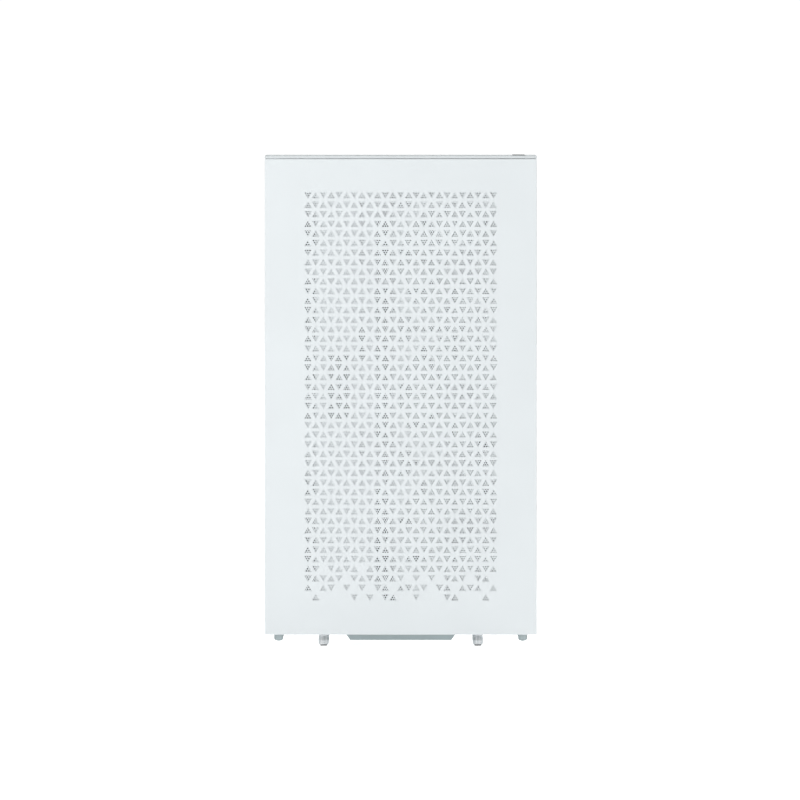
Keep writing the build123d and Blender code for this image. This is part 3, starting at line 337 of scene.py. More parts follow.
class Form:
    """Closed shapes gathered into one mesh."""

    def __init__(self):
        self.vertices = []
        self.faces = []

    def add(self, vertices, faces):
        start = len(self.vertices)
        self.vertices.extend(vertices)
        self.faces.extend(tuple(start + index for index in face) for face in faces)

    def box(self, low, high, chamfer):
        """Box with its twelve edges cut back."""
        vertices = []
        for corner in SIGNS:
            for axis in range(3):
                point = []
                for k in range(3):
                    end = high[k] if corner[k] > 0 else low[k]
                    point.append(end if k == axis else end - corner[k] * chamfer)
                vertices.append(point)
        self.add(vertices, BOX_FACES)

    def lathe(self, base, axis, profile, segments=28, flutes=0, depth=0.0):
        """Turned shape about an axis from (radius, height) pairs, closed at both ends."""
        w, u, v = cross_axes(axis)
        vertices = []
        rings = []
        for radius, height in profile:
            ring = []
            count = segments if radius > 0 else 1
            for step in range(count):
                angle = 2 * math.pi * step / segments
                reach = radius * (1 - depth * (0.5 - 0.5 * math.cos(flutes * angle)))
                ring.append(len(vertices))
                vertices.append(Vector(base) + w * height
                                + (u * math.cos(angle) + v * math.sin(angle)) * reach)
            rings.append(ring)
        faces = [tuple(ring) for ring in (rings[0], rings[-1]) if len(ring) > 1]
        for lower, upper in zip(rings, rings[1:]):
            for step in range(segments):
                n = (step + 1) % segments
                loop = [lower[step % len(lower)], lower[n % len(lower)],
                        upper[n % len(upper)], upper[step % len(upper)]]
                faces.append(tuple(dict.fromkeys(loop)))
        self.add(vertices, faces)

    def ring(self, base, axis, inner, outer, height, segments=28):
        """Flat washer with its four rims cut back."""
        soft = min(height, outer - inner) * 0.25
        section = [(inner, soft), (inner + soft, 0), (outer - soft, 0), (outer, soft),
                   (outer, height - soft), (outer - soft, height), (inner + soft, height),
                   (inner, height - soft)]
        w, u, v = cross_axes(axis)
        count = len(section)
        vertices = []
        for step in range(segments):
            angle = 2 * math.pi * step / segments
            out = u * math.cos(angle) + v * math.sin(angle)
            vertices.extend(Vector(base) + out * radius + w * up for radius, up in section)
        faces = []
        for step in range(segments):
            here = step * count
            there = (step + 1) % segments * count
            for k in range(count):
                n = (k + 1) % count
                faces.append((here + k, here + n, there + n, there + k))
        self.add(vertices, faces)

    def bar(self, points, radius, sides):
        """Round bar or wire through the points, closed at both ends."""
        points = [Vector(point) for point in points]
        u = (points[1] - points[0]).orthogonal().normalized()
        vertices = []
        for index, point in enumerate(points):
            before = points[max(index - 1, 0)]
            after = points[min(index + 1, len(points) - 1)]
            along = (after - before).normalized()
            u = (u - along * u.dot(along)).normalized()
            v = along.cross(u)
            for step in range(sides):
                angle = 2 * math.pi * step / sides
                vertices.append(point + (u * math.cos(angle) + v * math.sin(angle)) * radius)
        faces = [tuple(range(sides)), tuple(range(len(vertices) - sides, len(vertices)))]
        for index in range(len(points) - 1):
            for step in range(sides):
                n = (step + 1) % sides
                faces.append((index * sides + step, index * sides + n,
                              (index + 1) * sides + n, (index + 1) * sides + step))
        self.add(vertices, faces)

    def piece(self, name, material, body, slot, crease=35):
        """Makes the object, its faces pointing out and its soft edges smooth."""
        piece = new_piece(name, self.vertices, self.faces, material, body)
        edit = bmesh.new()
        edit.from_mesh(piece.data)
        bmesh.ops.recalc_face_normals(edit, faces=edit.faces)
        limit = math.radians(crease)
        for face in edit.faces:
            face.smooth = True
        for edge in edit.edges:
            edge.smooth = len(edge.link_faces) == 2 and edge.calc_face_angle(0) < limit
        edit.to_mesh(piece.data)
        edit.free()
        return piece


def mm(*values):
    """Millimetres to metres."""
    return tuple(value * MM for value in values)


def turned(points):
    """Profile given in millimetres."""
    return [mm(*point) for point in points]


def corners(node):
    """Low and high corner of a CAD node's box."""
    return [Vector(corner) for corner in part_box(node)]


def main_axis(vector):
    """Number of the axis that a vector runs along."""
    return max(range(3), key=lambda k: abs(vector[k]))


def face_middle(node, axis):
    """Middle of the box face that looks along the axis."""
    low, high = corners(node)
    spot = (low + high) / 2
    run = main_axis(axis)
    spot[run] = low[run] if axis[run] < 0 else high[run]
    return spot


def islands(node):
    """Low and high corner of every separate solid of a CAD node."""
    mesh = nodes[node].data
    spots = {}
    number = []
    for vertex in mesh.vertices:
        key = tuple(round(c, 5) for c in vertex.co)
        number.append(spots.setdefault(key, len(spots)))
    parent = list(range(len(spots)))

    def root(index):
        while parent[index] != index:
            parent[index] = parent[parent[index]]
            index = parent[index]
        return index

    for polygon in mesh.polygons:
        first = root(number[polygon.vertices[0]])
        for vertex in polygon.vertices[1:]:
            parent[root(number[vertex])] = first
    groups = {}
    for key, index in spots.items():
        groups.setdefault(root(index), []).append(key)
    boxes = []
    for points in groups.values():
        array = np.array(points)
        boxes.append((Vector(array.min(axis=0)), Vector(array.max(axis=0))))
    return sorted(boxes, key=lambda box: tuple(round(c, 4) for c in (*box[0], *box[1])))


# ---------------------------------------------------------------- dust filters
HOLE_PITCH = 2.2 * MM
HOLE_RADIUS = 0.68 * MM
HEX_ANGLES = range(30, 360, 60)


def hex_sheet(width, height):
    """Flat sheet of six-sided holes: vertices in (u, v) and faces."""
    row_pitch = HOLE_PITCH * math.sqrt(3) / 2
    columns = int(width / HOLE_PITCH)
    rows = int(height / row_pitch)
    turns = np.radians(HEX_ANGLES)
    ring = np.stack((np.cos(turns), np.sin(turns)), axis=1) * HOLE_RADIUS
    vertices = []
    for row in range(rows):
        for column in range(columns):
            u = (column - (columns - 1) / 2 + (row % 2) / 2) * HOLE_PITCH
            v = (row - (rows - 1) / 2) * row_pitch
            vertices.extend(ring + (u, v))

    def corner(row, column, angle):
        return (row * columns + column) * len(HEX_ANGLES) + HEX_ANGLES.index(angle)

    faces = []
    for row in range(rows):
        for column in range(columns):
            east = column + 1 < columns
            right = column + row % 2
            left = right - 1
            north_east = row + 1 < rows and right < columns
            north_west = row + 1 < rows and left >= 0
            if east:
                faces.append((corner(row, column, 330), corner(row, column + 1, 210),
                              corner(row, column + 1, 150), corner(row, column, 30)))
            if north_east:
                faces.append((corner(row, column, 30), corner(row + 1, right, 270),
                              corner(row + 1, right, 210), corner(row, column, 90)))
            if north_west:
                faces.append((corner(row, column, 90), corner(row + 1, left, 330),
                              corner(row + 1, left, 270), corner(row, column, 150)))
            if east and north_east:
                faces.append((corner(row, column, 30), corner(row, column + 1, 150),
                              corner(row + 1, right, 270)))
            if north_east and north_west:
                faces.append((corner(row, column, 90), corner(row + 1, right, 210),
                              corner(row + 1, left, 330)))
    return vertices, faces


def border(outer, inner, low, high, start):
    """Closed rectangular ring around the sheet: vertices in (u, v, w) and faces."""
    vertices = []
    for half_u, half_v in (outer, inner):
        for w in (low, high):
            for su, sv in ((-1, -1), (1, -1), (1, 1), (-1, 1)):
                vertices.append((su * half_u, sv * half_v, w))
    faces = []
    for k in range(4):
        n = (k + 1) % 4
        for a, b in ((0, 4), (12, 8), (8, 0), (4, 12)):
            faces.append((start + a + k, start + a + n, start + b + n, start + b + k))
    return vertices, faces


def filter_piece(name, node, body, rim):
    """Filter sheet with a solid rim, in the place of the plain CAD sheet."""
    low, high = corners(node)
    size = high - low
    centre = (low + high) / 2
    thin = min(range(3), key=lambda axis: size[axis])
    across = [axis for axis in range(3) if axis != thin]
    outer = (size[across[0]] / 2, size[across[1]] / 2)
    inner = (outer[0] - rim, outer[1] - rim)
    flat, faces = hex_sheet(2 * inner[0] + HOLE_PITCH, 2 * inner[1] + HOLE_PITCH)
    points = [(u, v, 0.0) for u, v in flat]
    half = size[thin] / 2
    ring, ring_faces = border(outer, inner, -half, half, len(points))
    placed = []
    for u, v, w in points + ring:
        spot = [0.0, 0.0, 0.0]
        spot[across[0]] = centre[across[0]] + u
        spot[across[1]] = centre[across[1]] + v
        spot[thin] = centre[thin] + w
        placed.append(spot)
    piece = new_piece(name, placed, faces + ring_faces, white_nylon, body)
    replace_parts(piece, node)


filter_piece("left_dust_filter", "left_filter", "left_panel", 5 * MM)
filter_piece("right_dust_filter", "right_filter", "right_panel", 5 * MM)
filter_piece("front_dust_filter", "front_filter", "front_panel", 2 * MM)
filter_piece("tray_dust_filter", "filter_tray_mesh", "filter_tray", 1 * MM)


# ---------------------------------------------------------------- feet and button
BARREL = turned([(2.9, 0.9), (3.7, 1.05), (4.35, 1.6), (4.8, 2.6), (5.03, 4.0), (5.04, 5.6),
                 (4.9, 7.2), (4.6, 8.5), (4.2, 9.3)])
NECK = turned([(3.9, 9.1), (4.1, 9.2), (4.1, 9.9), (3.9, 10.1), (3.9, 12.0)])
PAD = turned([(2.1, 0.3), (2.3, 0.0), (2.9, 0.0), (3.2, 0.25), (3.3, 0.6), (3.3, 1.2)])
STUB = turned([(0, 4.4), (1.2, 4.55), (2.4, 4.9), (3.5, 5.4), (4.1, 5.95), (4.3, 6.6), (4.3, 9.6),
               (4.1, 9.8), (4.1, 12.0)])
# Rings of the button's cap, from the rim down its side to the dish: inset, drop from the top.
BUTTON_RINGS = ((0, 4.6), (0, 0.55), (0.16, 0.2), (0.5, 0.0), (1.1, 0.0), (2.6, 0.22), (4.4, 0.34))
BUTTON_CORNER_STEPS = 6


def ground_spots(node):
    """Point on the ground under every foot of a CAD node."""
    return [((low.x + high.x) / 2, (low.y + high.y) / 2, 0) for low, high in islands(node)]


def make_feet():
    """Bright barrel feet with fine flutes, a neck and a rubber pad, and the domed stubs."""
    barrel = Form()
    pads = Form()
    for base in ground_spots("tall_feet"):
        barrel.lathe(base, UP, BARREL, 90, 18, 0.035)
        barrel.lathe(base, UP, NECK, 48)
        pads.lathe(base, UP, PAD, 48)
    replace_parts(barrel.piece("barrel_feet", chrome, "chassis", "chrome"), "tall_feet")
    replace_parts(pads.piece("rubber_foot_pads", rubber, "chassis", "rubber"), "foot_pads")
    stubs = Form()
    for base in ground_spots("stub_feet"):
        stubs.lathe(base, UP, STUB, 48)
    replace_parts(stubs.piece("domed_stub_feet", dark_foot, "chassis", "dark_plastic"), "stub_feet")


def make_button():
    """Soft square cap with a dished top and a light ring let into it."""
    low, high = corners("power_button")
    x, y, _ = (low + high) / 2
    half = (high.x - low.x) / 2
    top = high.z
    vertices = []
    for inset, drop in BUTTON_RINGS:
        reach = half - inset * MM
        radius = (2.0 - 0.25 * inset) * MM
        for quarter in range(4):
            start = quarter * math.pi / 2
            cx = math.copysign(reach - radius, math.cos(start + math.pi / 4))
            cy = math.copysign(reach - radius, math.sin(start + math.pi / 4))
            for step in range(BUTTON_CORNER_STEPS):
                angle = start + step / (BUTTON_CORNER_STEPS - 1) * math.pi / 2
                vertices.append((x + cx + radius * math.cos(angle),
                                 y + cy + radius * math.sin(angle), top - drop * MM))
    count = 4 * BUTTON_CORNER_STEPS
    faces = [tuple(range(count)), tuple(range(len(vertices) - count, len(vertices)))]
    for start in range(0, len(vertices) - count, count):
        for k in range(count):
            n = (k + 1) % count
            faces.append((start + k, start + n, start + count + n, start + count + k))
    form = Form()
    form.add(vertices, faces)
    form.lathe((x, y, low.z), UP, turned([(2.0, 0.0), (2.0, 2.2)]), 24)
    cap = form.piece("button_cap", button_plastic, "power_button", "white_plastic", 50)
    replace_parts(cap, "power_button")
    glow = Form()
    glow.ring((x, y, top - 0.5 * MM), UP, 2.2 * MM, 2.9 * MM, 0.32 * MM, 48)
    glow.piece("button_light_ring", light_pipe, "power_button", "white_plastic")


# ---------------------------------------------------------------- screws
HEAD_SIDES = 32
# Rings of a domed screw head: shares of its radius and of its height.
HEAD_RINGS = ((1.0, 0.0), (1.0, 0.35), (0.93, 0.72), (0.8, 0.93))
THUMB_STEP = 0.5 * MM
THUMB_NECK = 0.72


def closed_pairs(ring):
    """Every item of a ring with the one after it."""
    return zip(ring, ring[1:] + ring[:1])


def cross_head(radius, height):
    """Domed head on the XY plane with a cross recess, as vertices and faces."""
    edit = bmesh.new()
    arm = 0.62 * radius
    web = 0.13 * radius
    outline = [(arm, -web), (arm, web), (web, web), (web, arm), (-web, arm), (-web, web),
               (-arm, web), (-arm, -web), (-web, -web), (-web, -arm), (web, -arm), (web, -web)]
    turns = [2 * math.pi * step / HEAD_SIDES for step in range(HEAD_SIDES)]
    rings = [[edit.verts.new((radius * reach * math.cos(angle), radius * reach * math.sin(angle),
                              height * up)) for angle in turns] for reach, up in HEAD_RINGS]
    for lower, upper in zip(rings, rings[1:]):
        for (a, b), (c, d) in zip(closed_pairs(lower), closed_pairs(upper)):
            edit.faces.new((a, b, d, c))
    edit.faces.new(rings[0])
    mouth = [edit.verts.new((u, v, height)) for u, v in outline]
    floor = [edit.verts.new((u * 0.7, v * 0.7, height * 0.25)) for u, v in outline]
    edges = [edit.edges.new(pair) for pair in closed_pairs(mouth)]
    edges += [edit.edges.get(pair) for pair in closed_pairs(rings[-1])]
    bmesh.ops.triangle_fill(edit, use_beauty=True, edges=edges)
    for (a, b), (c, d) in zip(closed_pairs(mouth), closed_pairs(floor)):
        edit.faces.new((a, b, d, c))
    edit.faces.new(floor)
    edit.verts.index_update()
    vertices = [vertex.co.copy() for vertex in edit.verts]
    faces = [tuple(vertex.index for vertex in face.verts) for face in edit.faces]
    edit.free()
    return vertices, faces


def place(form, shape, base, axis, spin):
    """Adds a shape drawn on the XY plane so that its Z runs along the axis."""
    vertices, faces = shape
    turn = Vector(axis).to_track_quat("Z", "Y").to_matrix() @ Matrix.Rotation(spin, 3, "Z")
    form.add([Vector(base) + turn @ vertex for vertex in vertices], faces)


def make_screws():
    """Pan heads with a cross recess, hexagonal posts and knurled thumb screws."""
    bright = Form()
    brass = Form()
    shapes = {}
    for low, high in islands("screws"):
        size = high - low
        base = (low + high) / 2
        radius = size.z / 2
        if abs(size.y - size.z) < abs(size.x - size.z):
            length, axis, base.x = size.x, REAR, high.x
        else:
            length, axis, base.y = size.y, RIGHT, low.y
        spin = rng.uniform(0, math.pi)
        if length > 2 * radius * 0.99:
            soft = radius * 0.1
            brass.lathe(base, axis, [(radius - soft, 0), (radius, soft), (radius, length - soft),
                                     (radius - soft, length)], 6)
            continue
        if length > radius:
            neck = radius * THUMB_NECK
            bright.lathe(base, axis, [
                (radius * 0.6, 0), (radius * 0.62, THUMB_STEP), (radius - THUMB_STEP, THUMB_STEP),
                (radius, 2 * THUMB_STEP), (radius, length - 3 * THUMB_STEP),
                (radius - THUMB_STEP, length - 2 * THUMB_STEP),
                (neck, length - 2 * THUMB_STEP)], 96, 24, 0.07)
            base += Vector(axis) * (length - 2 * THUMB_STEP)
            radius = neck
            length = 2 * THUMB_STEP
        key = (round(radius, 5), round(length, 5))
        if key not in shapes:
            shapes[key] = cross_head(*key)
        place(bright, shapes[key], base, axis, spin)
    heads = bright.piece("screw_heads", stud_steel, "chassis", "stud_steel")
    posts = brass.piece("board_posts", brass_metal, "chassis", "stud_steel")
    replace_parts(heads, "screws")
    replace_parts(posts, "screws")


# ---------------------------------------------------------------- socket details
# Rows (Z), columns (from the board's face) and places (Y) of the sockets, in millimetres.
AUDIO_ROWS = {312.5: jack_green, 325.5: jack_pink, 338.5: jack_blue}
AUDIO_COLUMNS = (7.0, 19.0)
USB_ROWS = (213.25, 230.25, 247.25)
USB_COLUMNS = (3.5, 12.0)
NETWORK_ROW = 291.0
NETWORK_COLUMNS = (3.25, 12.25)
DISPLAY_PLACES = (-26.0, -2.0, 22.0, 46.0)
DISPLAY_X = -115.2
TOP_USB_PLACES = (-12.0, 10.0)
HEADSET_PLACE = -46.0


def make_jack_rings():
    """Coloured collars on the audio sockets at the rear."""
    low, _ = corners("rear_io_ports")
    for row, (z, colour) in enumerate(AUDIO_ROWS.items()):
        form = Form()
        for across in AUDIO_COLUMNS:
            centre = (low.x + 0.55 * MM, low.y + across * MM, z * MM)
            form.ring(centre, REAR, 1.85 * MM, 4.2 * MM, 0.6 * MM, 40)
        form.piece(f"audio_collars_{row}", colour, "chassis", "dark_plastic")


def tongue(plastic, contacts, centre, half, out, pins):
    """Socket tongue of the given half size, with a row of contacts, reaching along `out`."""
    centre, half = Vector(centre), Vector(half)
    run = main_axis(out)
    thin, broad = sorted((k for k in range(3) if k != run), key=lambda k: half[k])
    plastic.box(centre - half, centre + half, 0.15 * MM)
    pitch = 2 * half[broad] / (pins + 0.6)
    reach = Vector()
    reach[run] = half[run] * 0.7
    reach[broad] = pitch * 0.22
    reach[thin] = 0.09 * MM
    for pin in range(pins):
        spot = centre.copy()
        spot[broad] += (pin - (pins - 1) / 2) * pitch
        spot[thin] += half[thin]
        contacts.box(spot - reach, spot + reach, 0.04 * MM)


def make_tongues():
    """Plastic tongues with contacts in the rear, top and card sockets."""
    blue = Form()
    black = Form()
    contacts = Form()
    low, _ = corners("rear_io_ports")
    x = low.x + 5.6 * MM
    for z in USB_ROWS:
        for plastic, across in zip((black, blue), USB_COLUMNS):
            centre = (x, low.y + across * MM, z * MM)
            tongue(plastic, contacts, centre, mm(3.5, 1.05, 5.85), REAR, 4)
    for across in NETWORK_COLUMNS:
        centre = (x - 0.4 * MM, low.y + across * MM, NETWORK_ROW * MM)
        tongue(blue, contacts, centre, mm(3.1, 1.05, 6.5), REAR, 4)
    z = corners("graphics_board")[1].z + 3.0 * MM
    for y in DISPLAY_PLACES:
        tongue(black, contacts, (DISPLAY_X * MM, y * MM, z), mm(4.3, 6.15, 0.75), REAR, 10)
    low, high = corners("front_io_ports")
    x = (low.x + high.x) / 2
    for y in TOP_USB_PLACES:
        centre = (x - 1.2 * MM, y * MM, high.z - 5.0 * MM)
        tongue(blue, contacts, centre, mm(0.95, 5.75, 4.05), UP, 4)
    blue.piece("blue_port_tongues", port_blue, "chassis", "dark_plastic")
    black.piece("black_port_tongues", black_plastic, "chassis", "black_plastic")
    contacts.piece("port_contacts", gold, "chassis", "tinned_steel")
    collar = Form()
    centre = (x, HEADSET_PLACE * MM, high.z - 0.35 * MM)
    collar.ring(centre, UP, 1.85 * MM, 3.45 * MM, 0.5 * MM, 40)
    collar.piece("headset_collar", black_plastic, "chassis", "black_plastic")


# ---------------------------------------------------------------- fans
def hub_disc(name, rotor, axis, radius):
    """Brushed disc and raised ring on the open face of a fan hub."""
    base = face_middle(rotor, axis) - Vector(axis) * 0.05 * MM
    disc = Form()
    disc.lathe(base, axis, turned([
        (radius, 0), (radius, 0.18), (radius - 0.3, 0.3), (0.55 * radius, 0.3), (0.5 * radius, 0.2),
        (0.12 * radius, 0.2), (0.1 * radius, 0.08)]), 64)
    disc.ring(base, axis, (radius + 1.0) * MM, (radius + 1.6) * MM, 0.35 * MM, 64)
    disc.piece(name, hub_metal, rotor, "tinned_steel")


def fan_pads(fan, axis, spacing):
    """Soft rings around the four screw holes on the open face of a square fan."""
    middle = face_middle(fan + "_frame", axis) - Vector(axis) * 0.1 * MM
    first, second = [k for k in range(3) if k != main_axis(axis)]
    form = Form()
    for a in (-1, 1):
        for b in (-1, 1):
            spot = middle.copy()
            spot[first] += a * spacing / 2 * MM
            spot[second] += b * spacing / 2 * MM
            form.ring(spot, axis, 2.3 * MM, 5.4 * MM, 0.7 * MM, 32)
    form.piece(fan + "_pads", pad_rubber, "chassis", "rubber")


def make_fan_details():
    """Hub discs on every fan wheel, and pads on the square fans."""
    large = [(f"side_fan_{spot}", LEFT, 15.5, 105.0) for spot in ("low", "middle", "high")]
    small = [(f"{spot}_fan", FRONT, 12.5, 82.5) for spot in ("rear", "cooler")]
    for fan, axis, radius, spacing in large + small:
        hub_disc(fan + "_hub_disc", fan + "_rotor", axis, radius)
        fan_pads(fan, axis, spacing)
    for spot in ("rear", "front"):
        hub_disc(f"graphics_rotor_{spot}_hub_disc", f"graphics_rotor_{spot}", UP, 10.0)
    hub_disc("psu_fan_hub_disc", "psu_rotor", RIGHT, 11.0)


# ---------------------------------------------------------------- board components
BOARD_FREE_EDGE = 3.0
SMALL_PARTS = 260
SMALL_PART_TRIES = 4000
SMALL_PART_SIZES = ((1.8, 0.95), (0.95, 1.8), (2.6, 1.4), (1.4, 2.6))
CHOKE_PITCH = 11.2
LEG_PITCH = 0.8
# Larger chips: (x, z, width, height).
CHIPS = ((-58.0, 202.5, 8.0, 8.0), (-41.0, 202.0, 6.0, 6.0), (-92.0, 350.0, 9.0, 9.0),
         (24.0, 350.5, 7.0, 7.0), (44.0, 340.0, 6.0, 8.0), (14.0, 262.0, 5.0, 7.0),
         (-86.0, 214.5, 7.0, 7.0), (-66.0, 318.0, 6.0, 5.0), (44.0, 218.0, 8.0, 4.0))
# Rows of capacitors: (x, z, step in x, step in z, how many).
CAPACITOR_ROWS = ((-61.0, 309.0, 8.2, 0, 6), (-62.0, 216.0, 8.2, 0, 4), (14.0, 215.0, 0, 8.4, 4),
                  (-90.0, 339.0, 7.6, 0, 2), (40.5, 325.0, 0, 8.5, 2))
CAPACITOR = turned([(2.9, 0), (3.0, 0.3), (3.0, 0.9), (2.8, 1.2), (3.0, 1.5), (3.0, 5.6),
                    (2.75, 6.0), (2.2, 6.0), (2.1, 5.9)])
COIN_CELL = turned([(9.2, 0), (9.2, 2.0), (8.4, 2.1), (8.4, 2.5), (9.4, 2.7), (9.6, 3.0),
                    (9.6, 4.2), (9.3, 4.6), (8.0, 4.7)])
COIN_CELL_SPOT = (3.0, 303.0)
# Areas of the board under CAD pieces: (x low, x high, z low, z high).
COVERED = [(-76, 15, 353, 363), (17, 37, 202, 344), (-67, -9, 236, 294), (-91, -72, 197, 209),
           (39, 51, 234, 288), (43, 53, 292, 314), (37, 53, 205, 231), (-98, -77, 221, 323),
           (-31, 11, 200, 222), (-77, 5, 324, 348), (-118, -99, 200, 348), (-112, -103, 196, 207),
           (-112, -103, 352, 362), (41, 51, 196, 207), (41, 51, 352, 362)]


def make_board_parts():
    """Chokes, capacitors, chips, the coin cell and a scatter of small parts."""
    board_low, board_high = corners("main_board")
    face = board_high.y / MM
    taken = list(COVERED)
    choke = Form()
    can = Form()
    can_foot = Form()
    chip = Form()
    ends = Form()
    tan = Form()

    def stand(form, x, z, wide, tall, height, chamfer):
        form.box(mm(x - wide / 2, face, z - tall / 2),
                 mm(x + wide / 2, face + height, z + tall / 2), chamfer * MM)
        take(x, z, wide / 2 + 0.7, tall / 2 + 0.7)

    def take(x, z, wide, tall):
        taken.append((x - wide, x + wide, z - tall, z + tall))

    for step in range(9):
        stand(choke, -72.6, 228.0 + step * CHOKE_PITCH, 6.8, 6.8, 4.2, 0.6)
        stand(chip, -72.6, 233.6 + step * CHOKE_PITCH, 5.0, 3.2, 0.9, 0.15)
    for row_x, row_z, step_x, step_z, count in CAPACITOR_ROWS:
        for step in range(count):
            x = row_x + step * step_x
            z = row_z + step * step_z
            can.lathe(mm(x, face, z), RIGHT, CAPACITOR)
            can_foot.ring(mm(x, face + 0.1, z), RIGHT, 2.95 * MM, 3.3 * MM, 0.9 * MM, 24)
            take(x, z, 4, 4)
    for x, z, wide, tall in CHIPS:
        stand(chip, x, z, wide, tall, 1.0, 0.18)
        legs = int(wide / LEG_PITCH)
        tip = tall / 2 + 0.55
        for leg in range(legs):
            along = x + (leg - (legs - 1) / 2) * LEG_PITCH
            ends.box(mm(along - 0.15, face, z - tip), mm(along + 0.15, face + 0.45, z + tip),
                     0.04 * MM)
    x, z = COIN_CELL_SPOT
    can.lathe(mm(x, face, z), RIGHT, COIN_CELL, 64)
    take(x, z, 11, 11)
    x_range, z_range = [(board_low[k] / MM + BOARD_FREE_EDGE, board_high[k] / MM - BOARD_FREE_EDGE)
                        for k in (0, 2)]
    placed = 0
    for _ in range(SMALL_PART_TRIES):
        x = rng.uniform(*x_range)
        z = rng.uniform(*z_range)
        wide, tall = rng.choice(SMALL_PART_SIZES)
        if any(a - 1 < x < b + 1 and c - 1 < z < d + 1 for a, b, c, d in taken):
            continue
        body = rng.choice((tan, chip))
        if wide > tall:
            stand(body, x, z, wide * 0.62, tall, 0.75, 0.08)
        else:
            stand(body, x, z, wide, tall * 0.62, 0.75, 0.08)
        stand(ends, x, z, wide, tall, 0.7, 0.08)
        placed += 1
        if placed == SMALL_PARTS:
            break
    choke.piece("board_chokes", ferrite, "chassis", "grey_plastic")
    can.piece("board_capacitors", tinned, "chassis", "tinned_steel")
    can_foot.piece("capacitor_feet", black_plastic, "chassis", "black_plastic")
    chip.piece("board_chips", chip_resin, "chassis", "black_plastic")
    ends.piece("board_solder_ends", tinned, "chassis", "tinned_steel")
    tan.piece("board_ceramics", ceramic_tan, "chassis", "grey_plastic")


# ---------------------------------------------------------------- graphics card trim
CARD_FANS_Y = 12.0
BOLT_INSET = 6.5


def make_card_trim():
    """Raised bars, fan rings and corner bolts on the card's shroud."""
    low, high = [corner / MM for corner in corners("graphics_shroud")]
    top = high.z
    fans_x = [sum(corners(f"graphics_rotor_{spot}"), Vector()).x / 2 / MM
              for spot in ("rear", "front")]
    middle = sum(fans_x) / 2
    trim = Form()
    for side in (-1, 1):
        for step in range(4):
            y = CARD_FANS_Y + side * (30.0 + step * 4.6)
            half = 8.0 + step * 5.5
            trim.box(mm(middle - half, y - 1.1, top - 0.1), mm(middle + half, y + 1.1, top + 0.7),
                     0.25 * MM)
    for x in fans_x:
        trim.ring(mm(x, CARD_FANS_Y, top - 0.2), UP, 43.5 * MM, 45.4 * MM, 0.9 * MM, 96)
    trim.piece("card_trim", gunmetal, "chassis", "dark_metal")
    bolts = Form()
    shape = cross_head(2.4 * MM, 1.1 * MM)
    for x in (low.x + BOLT_INSET, high.x - BOLT_INSET):
        for y in (low.y + BOLT_INSET, high.y - BOLT_INSET):
            place(bolts, shape, mm(x, y, top - 0.1), UP, rng.uniform(0, 3))
    bolts.piece("card_bolts", stud_steel, "chassis", "stud_steel")


# ---------------------------------------------------------------- cables
def rounded(points, radii, steps=8):
    """Straight runs joined by arcs, as a list of close points."""
    points = [Vector(point) * MM for point in points]
    line = [points[0]]
    for before, corner, after, radius in zip(points, points[1:], points[2:], radii):
        into = (before - corner).normalized()
        out = (after - corner).normalized()
        half = into.angle(out) / 2
        setback = radius * MM / math.tan(half)
        centre = corner + (into + out).normalized() * (radius * MM / math.sin(half))
        start = corner + into * setback - centre
        end = corner + out * setback - centre
        for step in range(steps + 1):
            line.append(centre + start.slerp(end, step / steps).normalized() * radius * MM)
    line.append(points[-1])
    close = [line[0]]
    for here, there in zip(line, line[1:]):
        parts = max(1, round((there - here).length / (9 * MM)))
        close += [here.lerp(there, (k + 1) / parts) for k in range(parts)]
    return close


def strands(form, line, offsets, radius, turns):
    """Wires laid side by side along a line, slowly turning around it."""
    u = (line[1] - line[0]).orthogonal().normalized()
    frames = []
    for index, point in enumerate(line):
        along = (line[min(index + 1, len(line) - 1)] - line[max(index - 1, 0)]).normalized()
        u = (u - along * u.dot(along)).normalized()
        frames.append((point, u.copy(), along.cross(u)))
    for a, b in offsets:
        wire = []
        for index, (point, side, up) in enumerate(frames):
            angle = turns * 2 * math.pi * index / (len(frames) - 1)
            across = a * math.cos(angle) - b * math.sin(angle)
            over = a * math.sin(angle) + b * math.cos(angle)
            wire.append(point + side * across * MM + up * over * MM)
        form.bar(wire, radius * MM, 8)


def seven(pitch):
    """One wire in the middle and six around it."""
    around = [(pitch * math.cos(math.radians(60 * k)), pitch * math.sin(math.radians(60 * k)))
              for k in range(6)]
    return [(0.0, 0.0)] + around


# Bundles of wires: route in millimetres, bend radii and the bundle's own radius.
BUNDLES = [
    ([(-6, 35, 75), (78, 35, 82), (78, -8, 261), (45, -8, 261), (45, -28, 261)],
     [30, 14, 8.5], 5.0),
    ([(-6, 50, 112), (107, 50, 112), (107, 50, 374), (91, 50, 374)], [45, 7], 4.0),
    ([(-6, 62, 75), (18, 62, 82), (18, 24, 172), (-66, -8, 176), (-81.5, -12, 203),
      (-81.5, -28, 203)], [12, 24, 12, 6.5], 3.2),
    ([(104, 4, 441), (104, 4, 418), (99, -38, 392), (99, -47, 312), (60, -47, 303)],
     [10, 20, 16], 2.6),
    ([(-56, -76, 34), (-60, -76, 130), (-56, -74, 232), (-60, -76, 330), (-56, -76, 432)],
     [200, 200, 200], 6.0)]
TIE_SHARES = (0.2, 0.42, 0.62, 0.84)
LEAD_WIRES = [(-0.78, 0), (0, 0), (0.78, 0)]
LEAD_DROP = 44.0
LEAD_END = 52.0
# A plug is told from the tubes and the hub by its length, thickness and cubic metres.
LONGEST_PLUG = 52 * MM
THINNEST_PLUG = 7 * MM
LARGEST_PLUG = 3.2e-5
PLUG_RIB_PITCH = 4.2 * MM


